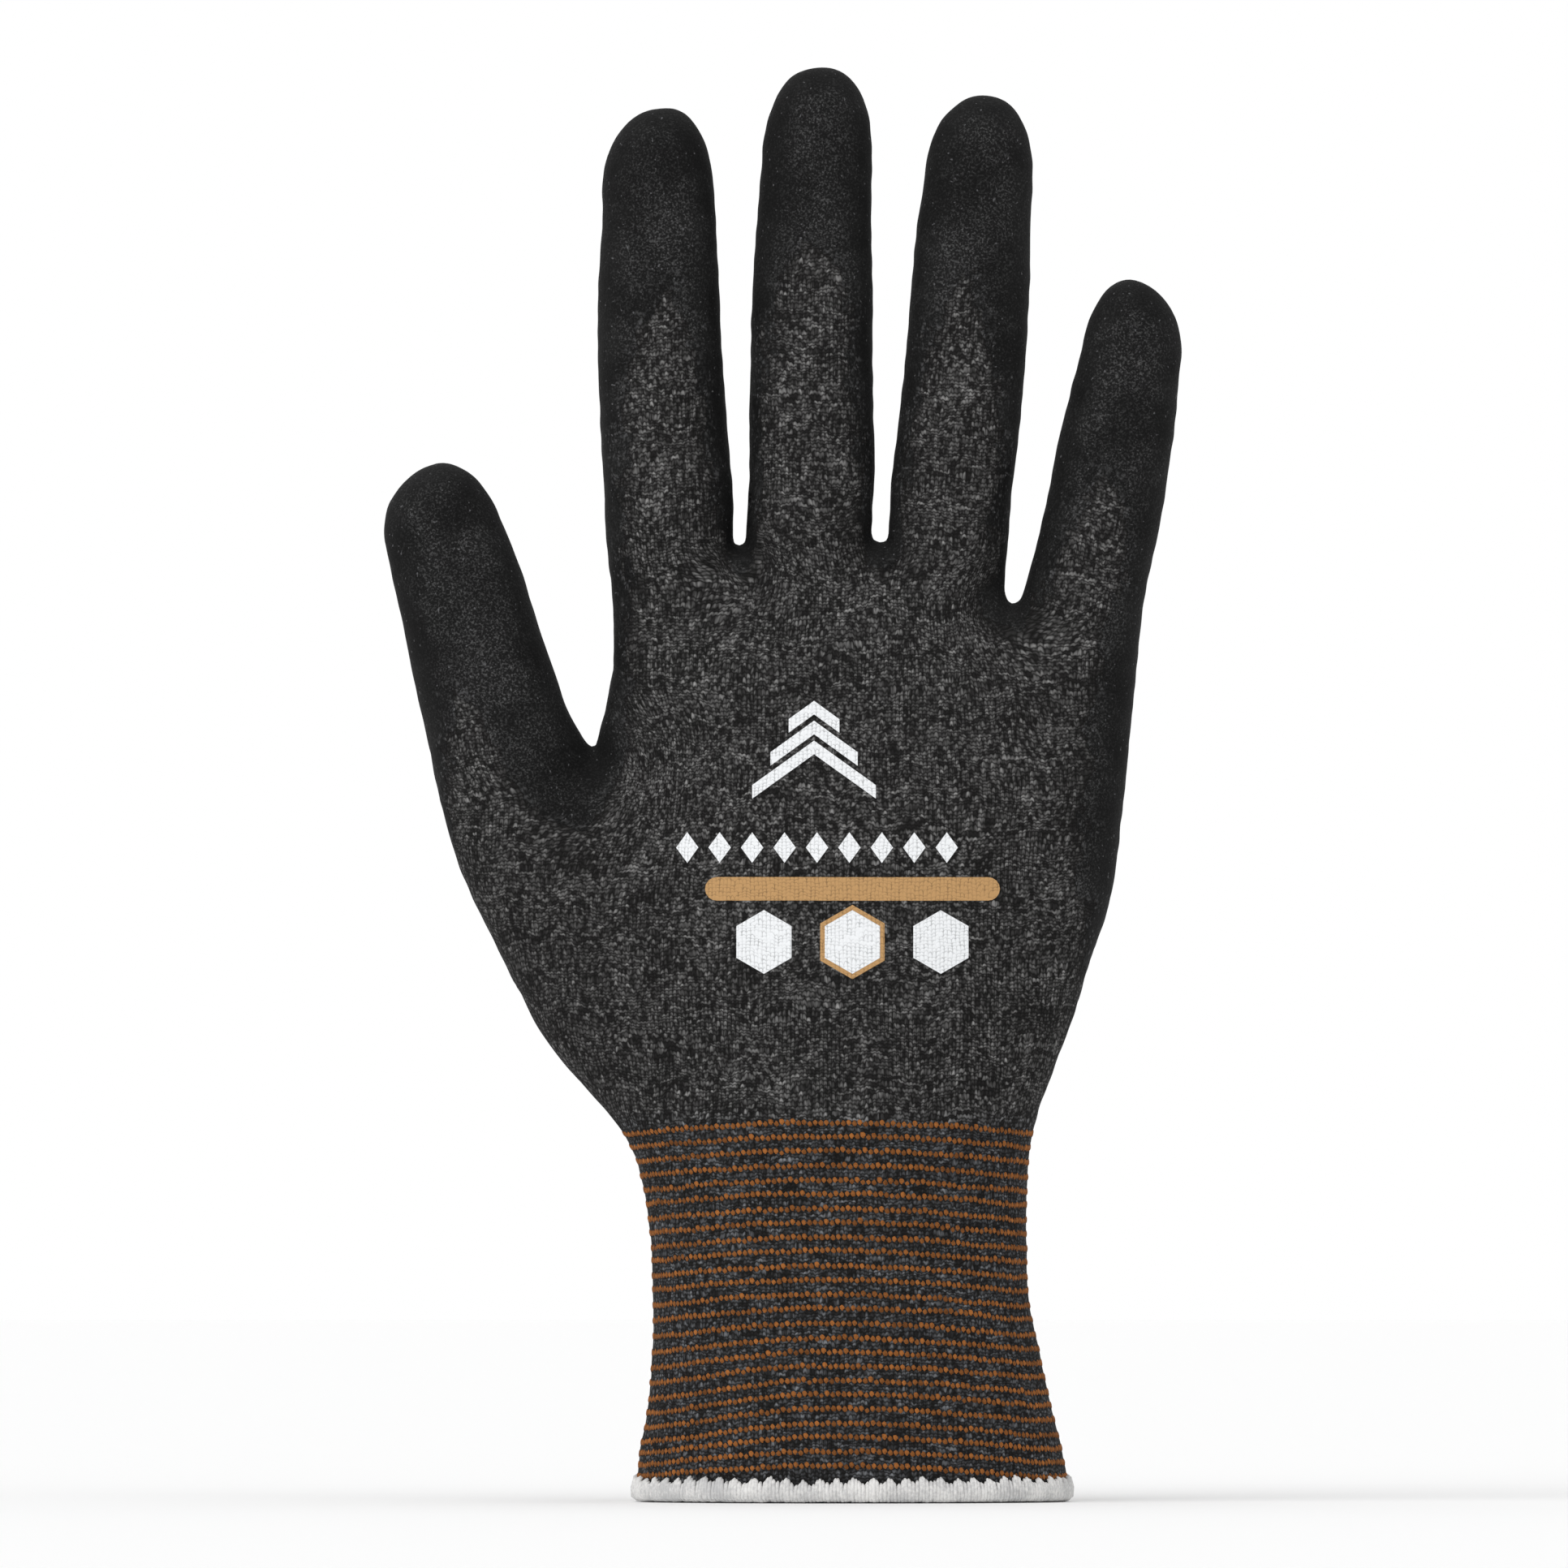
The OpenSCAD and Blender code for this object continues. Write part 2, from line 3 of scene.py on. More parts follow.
import bmesh
import bpy
import numpy as np
import openvdb
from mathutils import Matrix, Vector


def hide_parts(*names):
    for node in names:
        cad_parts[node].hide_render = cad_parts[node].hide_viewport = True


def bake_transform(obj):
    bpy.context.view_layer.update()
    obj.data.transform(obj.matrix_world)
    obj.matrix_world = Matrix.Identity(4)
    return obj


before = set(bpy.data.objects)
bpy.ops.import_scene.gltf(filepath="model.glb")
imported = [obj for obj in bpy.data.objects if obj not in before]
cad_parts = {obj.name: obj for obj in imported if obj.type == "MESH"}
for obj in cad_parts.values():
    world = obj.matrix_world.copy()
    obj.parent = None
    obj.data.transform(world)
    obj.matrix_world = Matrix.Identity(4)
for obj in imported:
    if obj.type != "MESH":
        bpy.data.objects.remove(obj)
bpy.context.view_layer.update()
rng = np.random.default_rng(21)
MM = 0.001
# How far round the glove two corners of one face can lie in the unrolled place, unless the seam is between them
UV_WRAP = 40


def smooth(low, high, x):
    t = np.clip((x - low) / (high - low), 0, 1)
    return t * t * (3 - 2 * t)


def curve(x, xs, ys):
    """Smooth curve through the points (xs, ys), flat beyond their ends."""
    xs, ys = np.asarray(xs, float), np.asarray(ys, float)
    slope = np.gradient(ys, xs)
    x = np.clip(x, xs[0], xs[-1])
    i = np.clip(np.searchsorted(xs, x) - 1, 0, len(xs) - 2)
    h = xs[i + 1] - xs[i]
    t = (x - xs[i]) / h
    start = (1 + 2 * t) * (1 - t) ** 2 * ys[i] + t * (1 - t) ** 2 * h * slope[i]
    return start + t * t * (3 - 2 * t) * ys[i + 1] + t * t * (t - 1) * h * slope[i + 1]


# Outline of the glove seen from the back.
# Hand and cuff: height, reach to the thumb side, reach to the little finger side
HAND = np.array([
    [-6, 36.5, 36.5], [3, 36.5, 36.5], [7, 36.3, 35.9], [15, 34.9, 34.2], [25, 34.0, 31.8], [35, 33.9, 30.0],
    [46, 34.4, 29.5], [55, 35.9, 29.8], [60, 37.6, 30.2], [64, 40.0, 31.0], [68, 43.2, 32.1], [73, 47.8, 34.1],
    [79, 52.4, 36.4], [86, 56.3, 38.8], [95, 61.0, 41.7], [104, 65.4, 44.0], [110, 67.8, 44.4], [116, 69.3, 44.2],
    [127, 70.8, 43.5],
])
# Depth of the hand: height, half depth, shift to the back, squareness
DEPTH = np.array([
    [-6, 25, 0, 2.2], [41, 22, 0, 2.2], [55, 22, 0, 2.2], [65, 23, 0, 2.2], [79, 23, 0, 2.4], [104, 20, 1.2, 2.8],
    [126, 16, 2.4, 3], [138, 14.5, 2.6, 3.3], [156.5, 11.8, 3, 3.6], [170, 11.6, 3, 3.6],
])
# Four finger part of the hand, up one side, along the finger crotches and down the other side
PALM = [
    (-44.3, 110), (-44.0, 122), (-43.5, 128), (-43.1, 130), (-42.1, 134), (-41.4, 138), (-40.7, 142), (-40.4, 148),
    (-39.8, 154), (-39.0, 160), (-30, 161.5), (-19.3, 162.5), (-7, 163), (4.8, 163.2), (16, 160), (26.6, 152.7),
    (28, 152.6), (36, 153), (44, 152), (45.5, 148), (46.6, 143), (47.3, 139), (47.4, 135), (47.1, 130), (46.7, 124),
    (46.1, 118), (45.1, 112), (43, 104),
]
# Digits: root, lean, stations of distance from the root and half widths to each side, then the tip's reach,
# its place off the axis and its roundness to each side, and the middle and end joints
DIGITS = {
    "index": dict(
        x=-31.05, z=159.5, lean=-1.9, shift=3,
        stations=[(-22, 8.4, 11), (-10, 9.5, 11), (-2, 10.3, 11), (4, 10.6, 11.05), (12, 10.8, 11.1),
                  (24, 11.05, 10.5), (36, 10.95, 10.05), (48, 10.55, 9.9), (60, 9.5, 9.85)],
        tip=(77.35, 1.5, 2.3, 2.3), joints=(26.5, 48.5)),
    "middle": dict(
        x=-7.05, z=161, lean=0.8, shift=3,
        stations=[(-22, 11.1, 10.6), (4, 11.1, 10.6), (12, 10.7, 10.7), (24, 10.8, 10.45), (36, 10.7, 10.05),
                  (48, 10.45, 9.8), (60, 9.7, 9.55), (66, 9.2, 9.55)],
        tip=(82.9, 0.25, 2.25, 2.5), joints=(29, 54)),
    "ring": dict(
        x=16.55, z=158, lean=4.5, shift=3,
        stations=[(-22, 11.1, 9.6), (4, 11.1, 9.6), (12, 11.15, 9.6), (24, 10.85, 9.9), (36, 10.35, 10),
                  (48, 10.25, 9.75), (57, 10.15, 9.2), (66, 9.7, 8.95)],
        tip=(81.4, -0.15, 2.15, 2.2), joints=(27.5, 51.5)),
    "little": dict(
        x=39.45, z=147.5, lean=9.3, shift=3,
        stations=[(-16, 11.6, 9.2), (0, 11.6, 9.4), (4, 11.6, 9.3), (8, 11.1, 9.25), (12, 10.5, 9.35), (18, 10.1, 9.6),
                  (26, 9.8, 9.75), (34, 9.45, 9.6), (42, 8.85, 9.1), (48, 8.2, 8.75)],
        tip=(60.75, -1.6, 2.05, 2), joints=(20, 36.5)),
    "thumb": dict(
        x=-58.5, z=126, lean=-15.5, shift=2.4,
        stations=[(-30, 7.5, 11), (-20, 9.8, 12.6), (-8, 12.1, 13.6), (0, 12.5, 13.3), (5, 12.4, 12.2),
                  (12, 12.05, 11.65), (24, 11.25, 11), (34, 10.8, 10.5), (40, 10.25, 9.8)],
        tip=(51.95, 1.6, 2.1, 1.85), joints=(25,)),
}
# Bare knit on the back of each digit: distance from the root, then its edge to each side of the axis
TONGUES = {
    "index": [(-10, -8, 11.5), (4, -7.6, 9.6), (12, -7.4, 7.8), (20, -7, 6.8), (28, -6.1, 6.1), (36, -4.3, 5),
              (41, -2.8, 3.6), (45.5, 0.8, 1.2)],
    "middle": [(-10, -12, 12), (4, -9.8, 9.6), (16, -9.2, 8.6), (24, -8.9, 7.2), (32, -8.3, 6.2), (40, -7.4, 5.4),
               (48, -5.5, 3.9), (52, -3.2, 1.9), (54, -0.9, -0.5)],
    "ring": [(-10, -12, 8.5), (4, -9.9, 7.6), (12, -9.5, 7), (20, -8.9, 6.7), (28, -7.6, 6), (36, -6.4, 4.8),
             (44, -4.6, 2.4), (48, -2.8, 0), (50, -1.5, -1.1)],
    "little": [(-12, -14, 3.3), (0, -9.8, 4.2), (6, -7.4, 4.7), (12, -6.1, 4.1), (20, -3.9, 3.1), (24, -2.6, 1),
               (26.5, -0.8, -0.4)],
    "thumb": [(-30, -17, 16), (-18, -16, 12.5), (-14, -15, 7.5), (-10, -13.8, 2.2), (-6, -12.3, 0), (2, -10.2, -1.6),
              (6, -8.7, -2.4), (10, -6.7, -2.6), (12.5, -5.4, -4.7)],
}
# How far a digit's tip bends to the palm
CURL = 6
DIGIT_SQUARE = 2.3
FINGERS = ["index", "middle", "ring", "little"]
# Lower edge of the coating on the palm, and the thickness of coating and knit
COAT_LOW = 84
COAT_T = 0.36
KNIT_T = 1.1
# The thumb side of the index finger's root, beyond which the thumb shapes the coating
THUMB_SIDE = -44.4


class Digit:
    """One finger or the thumb, in its own frame: s along it, u across it."""

    def __init__(self, name, d):
        self.name, self.joints, self.shift = name, d["joints"], d["shift"]
        self.root = np.array([d["x"], d["z"]])
        lean = math.radians(d["lean"])
        self.sin, self.cos = math.sin(lean), math.cos(lean)
        self.st = np.array(d["stations"], float)
        self.length, self.tip_u, self.round_l, self.round_r = d["tip"]
        self.dome = self.st[-1, 0]

    def local(self, x, z):
        x, z = x - self.root[0], z - self.root[1]
        return x * self.sin + z * self.cos, x * self.cos - z * self.sin

    def at(self, s, u=0.0, y=0.0):
        return np.array([self.root[0] + s * self.sin + u * self.cos, y, self.root[1] + s * self.cos - u * self.sin])

    def sides(self, s):
        return curve(s, self.st[:, 0], self.st[:, 1]), curve(s, self.st[:, 0], self.st[:, 2])

    def centre_y(self, s):
        return CURL * np.clip(s / self.length, 0, 1) ** 2 - self.shift

    def size(self, s):
        """Half width and half depth, which the tip keeps to its end."""
        left, right = self.sides(np.minimum(s, self.dome))
        half = (left + right) / 2
        return half, half * (1.05 - 0.21 * np.clip(s / self.dome, 0, 1))

    def outline(self):
        s = np.arange(self.st[0, 0], self.dome, 1.5)
        left, right = self.sides(s)
        end_l, end_r = self.sides(self.dome)
        a = np.linspace(0, math.pi / 2, 13)
        rise = self.dome + (self.length - self.dome) * np.sin(a) ** (2 / self.round_l)
        left_u = self.tip_u - (end_l + self.tip_u) * np.cos(a) ** (2 / self.round_l)
        fall = self.dome + (self.length - self.dome) * np.sin(a) ** (2 / self.round_r)
        right_u = self.tip_u + (end_r - self.tip_u) * np.cos(a) ** (2 / self.round_r)
        up_side = [*zip(s, -left), *zip(rise, left_u)]
        points = up_side + [*zip(fall[:-1][::-1], right_u[:-1][::-1]), *zip(s[::-1], right[::-1])]
        return [tuple(self.at(p, q)[[0, 2]]) for p, q in points]


digits = {name: Digit(name, d) for name, d in DIGITS.items()}


def polygon_distance(x, z, points):
    """Distance to a polygon's edge, above 0 inside."""
    best = np.full(x.shape, 1e9)
    inside = np.zeros(x.shape, bool)
    for (ax, az), (bx, bz) in zip(points, points[1:] + points[:1]):
        dx, dz = bx - ax, bz - az
        t = np.clip(((x - ax) * dx + (z - az) * dz) / (dx * dx + dz * dz + 1e-12), 0, 1)
        best = np.minimum(best, (x - ax - t * dx) ** 2 + (z - az - t * dz) ** 2)
        if az != bz:
            inside ^= ((az > z) != (bz > z)) & (x < ax + (z - az) * dx / dz)
    return np.where(inside, 1, -1) * np.sqrt(best)


def join(shapes, k):
    """Union of inside distances with rounded inner corners of size k."""
    made = shapes[0]
    for d in shapes[1:]:
        h = np.clip(k - np.abs(made - d), 0, None) / k
        made = np.maximum(made, d) + h * h * k / 4
    return made


# Fields over the outline's plane, from which the skin is puffed up to its depth
STEP = 0.7
GX = np.arange(-86, 64, STEP)
GZ = np.arange(-5.2, 251, STEP)
GY = np.arange(-30.8, 31, STEP)
fx, fz = np.meshgrid(GX, GZ, indexing="ij")
hand_z = np.arange(-60, 127.1, 1.5)
hand_l, hand_r = curve(hand_z, HAND[:, 0], HAND[:, 1]), curve(hand_z, HAND[:, 0], HAND[:, 2])
hand_outline = [*zip(-hand_l, hand_z), *zip(hand_r[::-1], hand_z[::-1])]
outlines = [hand_outline, PALM, *(d.outline() for d in digits.values())]
shapes = [polygon_distance(fx, fz, p) for p in outlines]


def sample(field, x, z):
    """Field value between the grid's points."""
    i = np.clip((x - GX[0]) / STEP, 0, len(GX) - 1.001)
    k = np.clip((z - GZ[0]) / STEP, 0, len(GZ) - 1.001)
    i0, k0 = i.astype(int), k.astype(int)
    di, dk = i - i0, k - k0
    low = field[i0, k0] * (1 - dk) + field[i0, k0 + 1] * dk
    return low * (1 - di) + (field[i0 + 1, k0] * (1 - dk) + field[i0 + 1, k0 + 1] * dk) * di


def blur(field, size):
    reach = int(3 * size / STEP)
    kernel = np.exp(-0.5 * (np.arange(-reach, reach + 1) * STEP / size) ** 2)
    kernel /= kernel.sum()
    for axis in (0, 1):
        padded = np.pad(field, [(reach, reach) if k == axis else (0, 0) for k in (0, 1)], mode="edge")
        field = sum(w * np.take(padded, np.arange(field.shape[axis]) + k, axis) for k, w in enumerate(kernel))
    return field


def inside_distance(outlines):
    """Distance to the outline of all the shapes together."""
    best = np.full(fx.shape, 1e9)
    for i, points in enumerate(outlines):
        for (ax, az), (bx, bz) in zip(points, points[1:] + points[:1]):
            t = np.arange(0, 1, 0.8 / max(math.hypot(bx - ax, bz - az), 0.8))
            x, z = ax + (bx - ax) * t, az + (bz - az) * t
            free = np.max([sample(d, x, z) for j, d in enumerate(shapes) if j != i], axis=0) < 0.1
            for px, pz in zip(x[free], z[free]):
                best = np.minimum(best, (fx - px) ** 2 + (fz - pz) ** 2)
    return np.sqrt(best)


edge = join(shapes, 2 + 1.6 * np.exp(-((fx - THUMB_SIDE) ** 2 + (fz - 128.5) ** 2) / 30))
deep = smooth(2.5, 9, edge)
edge = edge * (1 - deep) + inside_distance(outlines) * deep
deep = smooth(5, 15, edge)
edge = edge * (1 - deep) + blur(edge, 4.0) * deep


def hand_middle(z):
    """Middle and half width of the hand at a height, and of its four finger part above the thumb."""
    left, right = curve(z, HAND[:, 0], HAND[:, 1]), curve(z, HAND[:, 0], HAND[:, 2])
    palm = smooth(118, 140, z)
    return (1 - palm) * (right - left) / 2 + palm * 3.9, (1 - palm) * (left + right) / 2 + palm * 45.4


def weights(x, z):
    """How much each digit, and the hand, shapes a place on the outline."""
    found = {}
    for name, d in digits.items():
        s, u = d.local(x, z)
        low, high = (-15, 9) if name == "thumb" else (-9, 6)
        half, _ = d.size(s)
        found[name] = smooth(low, high, s) * (1 - smooth(1.08, 1.5, np.abs(u) / half))
    total = sum(found.values())
    over = np.maximum(total, 1)
    found = {n: w / over for n, w in found.items()}
    found["hand"] = 1 - sum(found.values())
    return found


def mix_fields(x, z):
    """Half width, half depth, squareness and middle depth at a place on the outline."""
    w = weights(x, z)
    _, a = hand_middle(z)
    values = [a] + [curve(z, DEPTH[:, 0], DEPTH[:, k]) for k in (1, 3)] + [-curve(z, DEPTH[:, 0], DEPTH[:, 2])]
    out = [w["hand"] * v for v in values]
    for name, d in digits.items():
        s, _ = d.local(x, z)
        half, depth = d.size(s)
        for k, v in enumerate([half, depth, DIGIT_SQUARE, d.centre_y(s)]):
            out[k] = out[k] + w[name] * v
    return out


half_w, half_d, square, mid_y = mix_fields(fx, fz)


def skin_value(d, a, b, e, c, y):
    """Distance from the skin, about right near it and below 0 inside."""
    px = np.clip((a - d) / a, 1e-4, None)
    py = np.abs(y - c) / b + 1e-4
    rho = (px**e + py**e) ** (1 / e)
    return (rho - 1) * rho ** (e - 1) / np.sqrt((px ** (e - 1) / a) ** 2 + (py ** (e - 1) / b) ** 2)


def layer_drop(z):
    """The bare knit lies under the coating's outside, and on the outline in the cuff."""
    return COAT_T * smooth(78, 92, z)


volume = np.empty((len(GX), len(GY), len(GZ)), np.float32)
for j, y in enumerate(GY):
    volume[:, j, :] = skin_value(edge, half_w, half_d, square, mid_y, y) + layer_drop(fz)
grid = openvdb.FloatGrid(5.0)
grid.copyFromArray(np.clip(volume, -5, 5))
skin_co, skin_quads = grid.convertToQuads(isovalue=0.0)[:2]
skin_co = np.asarray(skin_co, float) * STEP + [GX[0], GY[0], GZ[0]]
del volume


def skin_at(x, y, z):
    f = [sample(v, x, z) for v in (edge, half_w, half_d, square, mid_y)]
    return skin_value(*f, y) + layer_drop(z)


def skin_normal(p):
    e = 0.35
    n = np.stack([
        skin_at(*(p + np.eye(3)[k] * e).T) - skin_at(*(p - np.eye(3)[k] * e).T) for k in range(3)
    ], axis=1)
    return n / np.linalg.norm(n, axis=1, keepdims=True)


def ring_on_skin(z, count, out, lift=lambda x, z: 0 * x):
    """Points, evenly spaced round the cuff at height z, and their normals."""
    a = np.linspace(0, 2 * math.pi, 1441)[:-1]
    middle, _ = hand_middle(np.full(len(a), z))
    low, high = np.full(len(a), 5.0), np.full(len(a), 60.0)
    for _ in range(26):
        r = (low + high) / 2
        x = middle + r * np.sin(a)
        outside = skin_at(x, -r * np.cos(a), z + lift(x, z)) > 0
        low, high = np.where(outside, low, r), np.where(outside, r, high)
    x, y = middle + low * np.sin(a), -low * np.cos(a)
    p = np.stack([x, y, z + lift(x, z)], axis=1)
    step = np.linalg.norm(np.roll(p, -1, 0) - p, axis=1)
    run = np.concatenate([[0], np.cumsum(step)])
    want = np.arange(count) / count * run[-1]
    closed = np.vstack([p, p[:1]])
    p = np.stack([np.interp(want, run, closed[:, k]) for k in range(3)], axis=1)
    n = skin_normal(p)
    return p + n * out, n, run[-1]


def new_object(name, co, faces, material, uv=None, normals=None, values=None):
    """Mesh object from points in mm and faces of any size."""
    mesh = bpy.data.meshes.new(name)
    mesh.from_pydata((np.asarray(co) * MM).tolist(), [], [list(map(int, f)) for f in faces])
    mesh.shade_smooth()
    loops = np.empty(len(mesh.loops), np.int32)
    mesh.loops.foreach_get("vertex_index", loops)
    if uv is not None:
        corner = np.asarray(uv)[loops]
        starts = np.empty(len(mesh.polygons), np.int32)
        mesh.polygons.foreach_get("loop_start", starts)
        high = np.maximum.reduceat(corner[:, 0], starts)
        totals = np.diff(np.append(starts, len(loops)))
        high = np.repeat(high, totals)
        corner[:, 0] = np.where(high - corner[:, 0] > UV_WRAP, high, corner[:, 0])
        mesh.uv_layers.new(name="UVMap").data.foreach_set("uv", corner.astype(np.float32).ravel())
    for key, v in (values or {}).items():
        mesh.attributes.new(key, "FLOAT", "POINT").data.foreach_set("value", np.asarray(v, np.float32))
    rest = mesh.attributes.new("rest", "FLOAT_VECTOR", "POINT")
    rest.data.foreach_set("vector", np.asarray(co, np.float32).ravel())
    if normals is not None:
        mesh.normals_split_custom_set_from_vertices(np.asarray(normals).tolist())
    mesh.materials.append(material)
    obj = bpy.data.objects.new(name, mesh)
    bpy.context.scene.collection.objects.link(obj)
    return obj


# Materials
def linear(r, g, b):
    """Linear colour from 0 to 255 screen values."""
    c = [v / 255 for v in (r, g, b)]
    return tuple(v / 12.92 if v < 0.04045 else ((v + 0.055) / 1.055) ** 2.4 for v in c) + (1.0,)


class Nodes:
    """Short forms for building one material's nodes."""

    def __init__(self, name, roughness, specular):
        self.material = bpy.data.materials.new(name)
        self.material.use_nodes = True
        self.tree = self.material.node_tree
        self.shader = self.tree.nodes["Principled BSDF"]
        self.shader.inputs["Roughness"].default_value = roughness
        self.shader.inputs["Specular IOR Level"].default_value = specular

    def put(self, socket, value):
        if hasattr(value, "is_output"):
            self.tree.links.new(value, socket)
        elif value is not None:
            socket.default_value = value

    def math(self, op, a, b=None, c=None):
        n = self.tree.nodes.new("ShaderNodeMath")
        n.operation = op
        for socket, value in zip(n.inputs, (a, b, c)):
            self.put(socket, value)
        return n.outputs[0]

    def ramp(self, value, low, high, to_low=0.0, to_high=1.0):
        n = self.tree.nodes.new("ShaderNodeMapRange")
        n.interpolation_type = "SMOOTHSTEP"
        for socket, v in zip(n.inputs, (value, low, high, to_low, to_high)):
            self.put(socket, v)
        return n.outputs[0]

    def vector(self, x, y):
        n = self.tree.nodes.new("ShaderNodeCombineXYZ")
        for socket, v in zip(n.inputs, (x, y)):
            self.put(socket, v)
        return n.outputs[0]

    def noise(self, vector, scale, detail=2.0, rough=0.5):
        n = self.tree.nodes.new("ShaderNodeTexNoise")
        for key, v in (("Vector", vector), ("Scale", scale), ("Detail", detail), ("Roughness", rough)):
            self.put(n.inputs[key], v)
        return n.outputs["Fac"]

    def white(self, vector):
        n = self.tree.nodes.new("ShaderNodeTexWhiteNoise")
        n.noise_dimensions = "3D"
        self.put(n.inputs["Vector"], vector)
        return n.outputs["Value"]

    def attribute(self, name):
        n = self.tree.nodes.new("ShaderNodeAttribute")
        n.attribute_name = name
        return n.outputs["Fac"]

    def uv(self):
        n = self.tree.nodes.new("ShaderNodeUVMap")
        n.uv_map = "UVMap"
        split = self.tree.nodes.new("ShaderNodeSeparateXYZ")
        self.tree.links.new(n.outputs[0], split.inputs[0])
        return split.outputs[0], split.outputs[1]

    def place(self):
        """Place on the flat glove in mm, which stays with the surface when it bends."""
        n = self.tree.nodes.new("ShaderNodeAttribute")
        n.attribute_name = "rest"
        return n.outputs["Vector"]

    def mix(self, share, a, b):
        n = self.tree.nodes.new("ShaderNodeMix")
        n.data_type = "RGBA"
        self.put(n.inputs["Factor"], share)
        self.put(n.inputs[6], a)
        self.put(n.inputs[7], b)
        return n.outputs[2]

    def finish(self, color, height=None, depth=0.1, strength=0.6):
        """The material, with its colour and with bumps of a depth in mm."""
        self.put(self.shader.inputs["Base Color"], color)
        if height is not None:
            bump = self.tree.nodes.new("ShaderNodeBump")
            bump.inputs["Distance"].default_value = depth * MM
            bump.inputs["Strength"].default_value = strength
            self.put(bump.inputs["Height"], height)
            self.tree.links.new(bump.outputs[0], self.shader.inputs["Normal"])
        return self.material


# Width and height of one stitch
WALE, COURSE = 0.7, 0.66


def stitch_grid(m):
    """Stitch coordinates from the unrolled place on the skin, with the melange along each yarn."""
    u, v = m.uv()
    flat = m.vector(u, v)
    u = m.math("MULTIPLY_ADD", m.math("SUBTRACT", m.noise(flat, 0.4, 1.0), 0.5), 0.45, u)
    v = m.math("MULTIPLY_ADD", m.math("SUBTRACT", m.noise(m.vector(v, u), 0.13, 2.0), 0.5), 3.2, v)
    v = m.math("MULTIPLY_ADD", m.math("SUBTRACT", m.noise(flat, 0.9, 0.0), 0.5), 0.8, v)
    wale = m.math("DIVIDE", u, WALE)
    column = m.math("FLOOR", wale)
    across = m.math("SUBTRACT", wale, column)
    bend = m.math("ABSOLUTE", m.math("MULTIPLY_ADD", across, 2.0, -1.0))
    course = m.math("DIVIDE", m.math("MULTIPLY_ADD", bend, 0.2, v), COURSE)
    row = m.math("FLOOR", course)
    up = m.math("SUBTRACT", course, row)
    yarn = m.noise(m.vector(u, m.math("MULTIPLY", row, 7.37)), 1.1, 2.0)
    stroke = m.math("SINE", m.math("MULTIPLY", up, math.pi))
    leg = m.math("SINE", m.math("MULTIPLY", across, math.pi))
    chance = m.white(m.vector(column, row))
    return flat, yarn, stroke, leg, chance


def knit_material():
    m = Nodes("melange_knit", 0.9, specular=0.06)
    flat, yarn, stroke, leg, chance = stitch_grid(m)
    patch = m.noise(flat, 0.14, 3.0, 0.6)
    dense = m.math("MULTIPLY_ADD", patch, -0.25, 0.675)
    fleck = m.ramp(yarn, m.math("SUBTRACT", dense, 0.18), m.math("ADD", dense, 0.26))
    lines = m.ramp(m.noise(m.place(), 0.13, 1.0), 0.38, 0.62, 0.25, 0.75)
    # shape darkens the gaps between stitches and courses, partly the knit's own pattern and partly painted shade of
    # the stitch relief; it dims the flecks and the dark base
    course = m.math("MULTIPLY_ADD", m.math("POWER", stroke, 1.2), 0.88, 0.12)
    shape = m.math("MULTIPLY", course, m.ramp(leg, 0.05, 0.8, lines, 1.0))
    shade = m.math("MULTIPLY", m.math("MULTIPLY", fleck, shape), m.math("MULTIPLY_ADD", chance, 0.65, 0.35))
    # the attribute gives how far the bare knit's flecks show, with painted shade at the crotches, along the outline
    # and beside the cuff courses
    shade = m.math("MULTIPLY", shade, m.attribute("bare"))
    light = m.mix(m.attribute("cuff"), linear(155, 154, 153), linear(152, 155, 160))
    dark = m.mix(shape, linear(19, 19, 18), linear(32, 31, 31))
    color = m.mix(shade, dark, light)
    return m.finish(color, m.math("MULTIPLY_ADD", shape, 1.0, m.math("MULTIPLY", yarn, 0.4)), 0.16, 0.6)


def coating_material():
    m = Nodes("dipped_coating", 0.85, specular=0.1)
    _, yarn, stroke, leg, _ = stitch_grid(m)
    place = m.place()
    grain = m.noise(place, 2.7, 2.0, 0.6)
    haze = m.noise(place, 0.1, 3.0, 0.6)
    speck = m.math("MULTIPLY", m.ramp(grain, 0.44, 0.8), m.ramp(haze, 0.34, 0.66, 0.3, 1.0))
    point = m.ramp(m.noise(place, 1.9, 0.0), 0.76, 0.86)
    # the middle attribute is painted sheen: specks lighter on the middles, fading towards the outline
    middle = m.attribute("middle")
    color = m.mix(m.ramp(haze, 0.3, 0.75), linear(15, 15, 15), linear(25, 25, 25))
    color = m.mix(m.math("MULTIPLY", speck, middle), color, linear(88, 88, 88))
    color = m.mix(m.math("MULTIPLY", point, 0.6), color, linear(104, 104, 106))
    # thread shows at the coating's edge, with painted shade near the crotches
    thread = m.math("MULTIPLY", m.ramp(yarn, 0.5, 0.66), m.math("MULTIPLY", stroke, m.attribute("bare")))
    color = m.mix(m.math("MULTIPLY", thread, 0.55), color, linear(92, 92, 93))
    height = m.math("MULTIPLY_ADD", grain, 0.8, m.math("MULTIPLY", m.math("MULTIPLY", stroke, leg), 0.25))
    return m.finish(color, height, 0.12, 0.6)


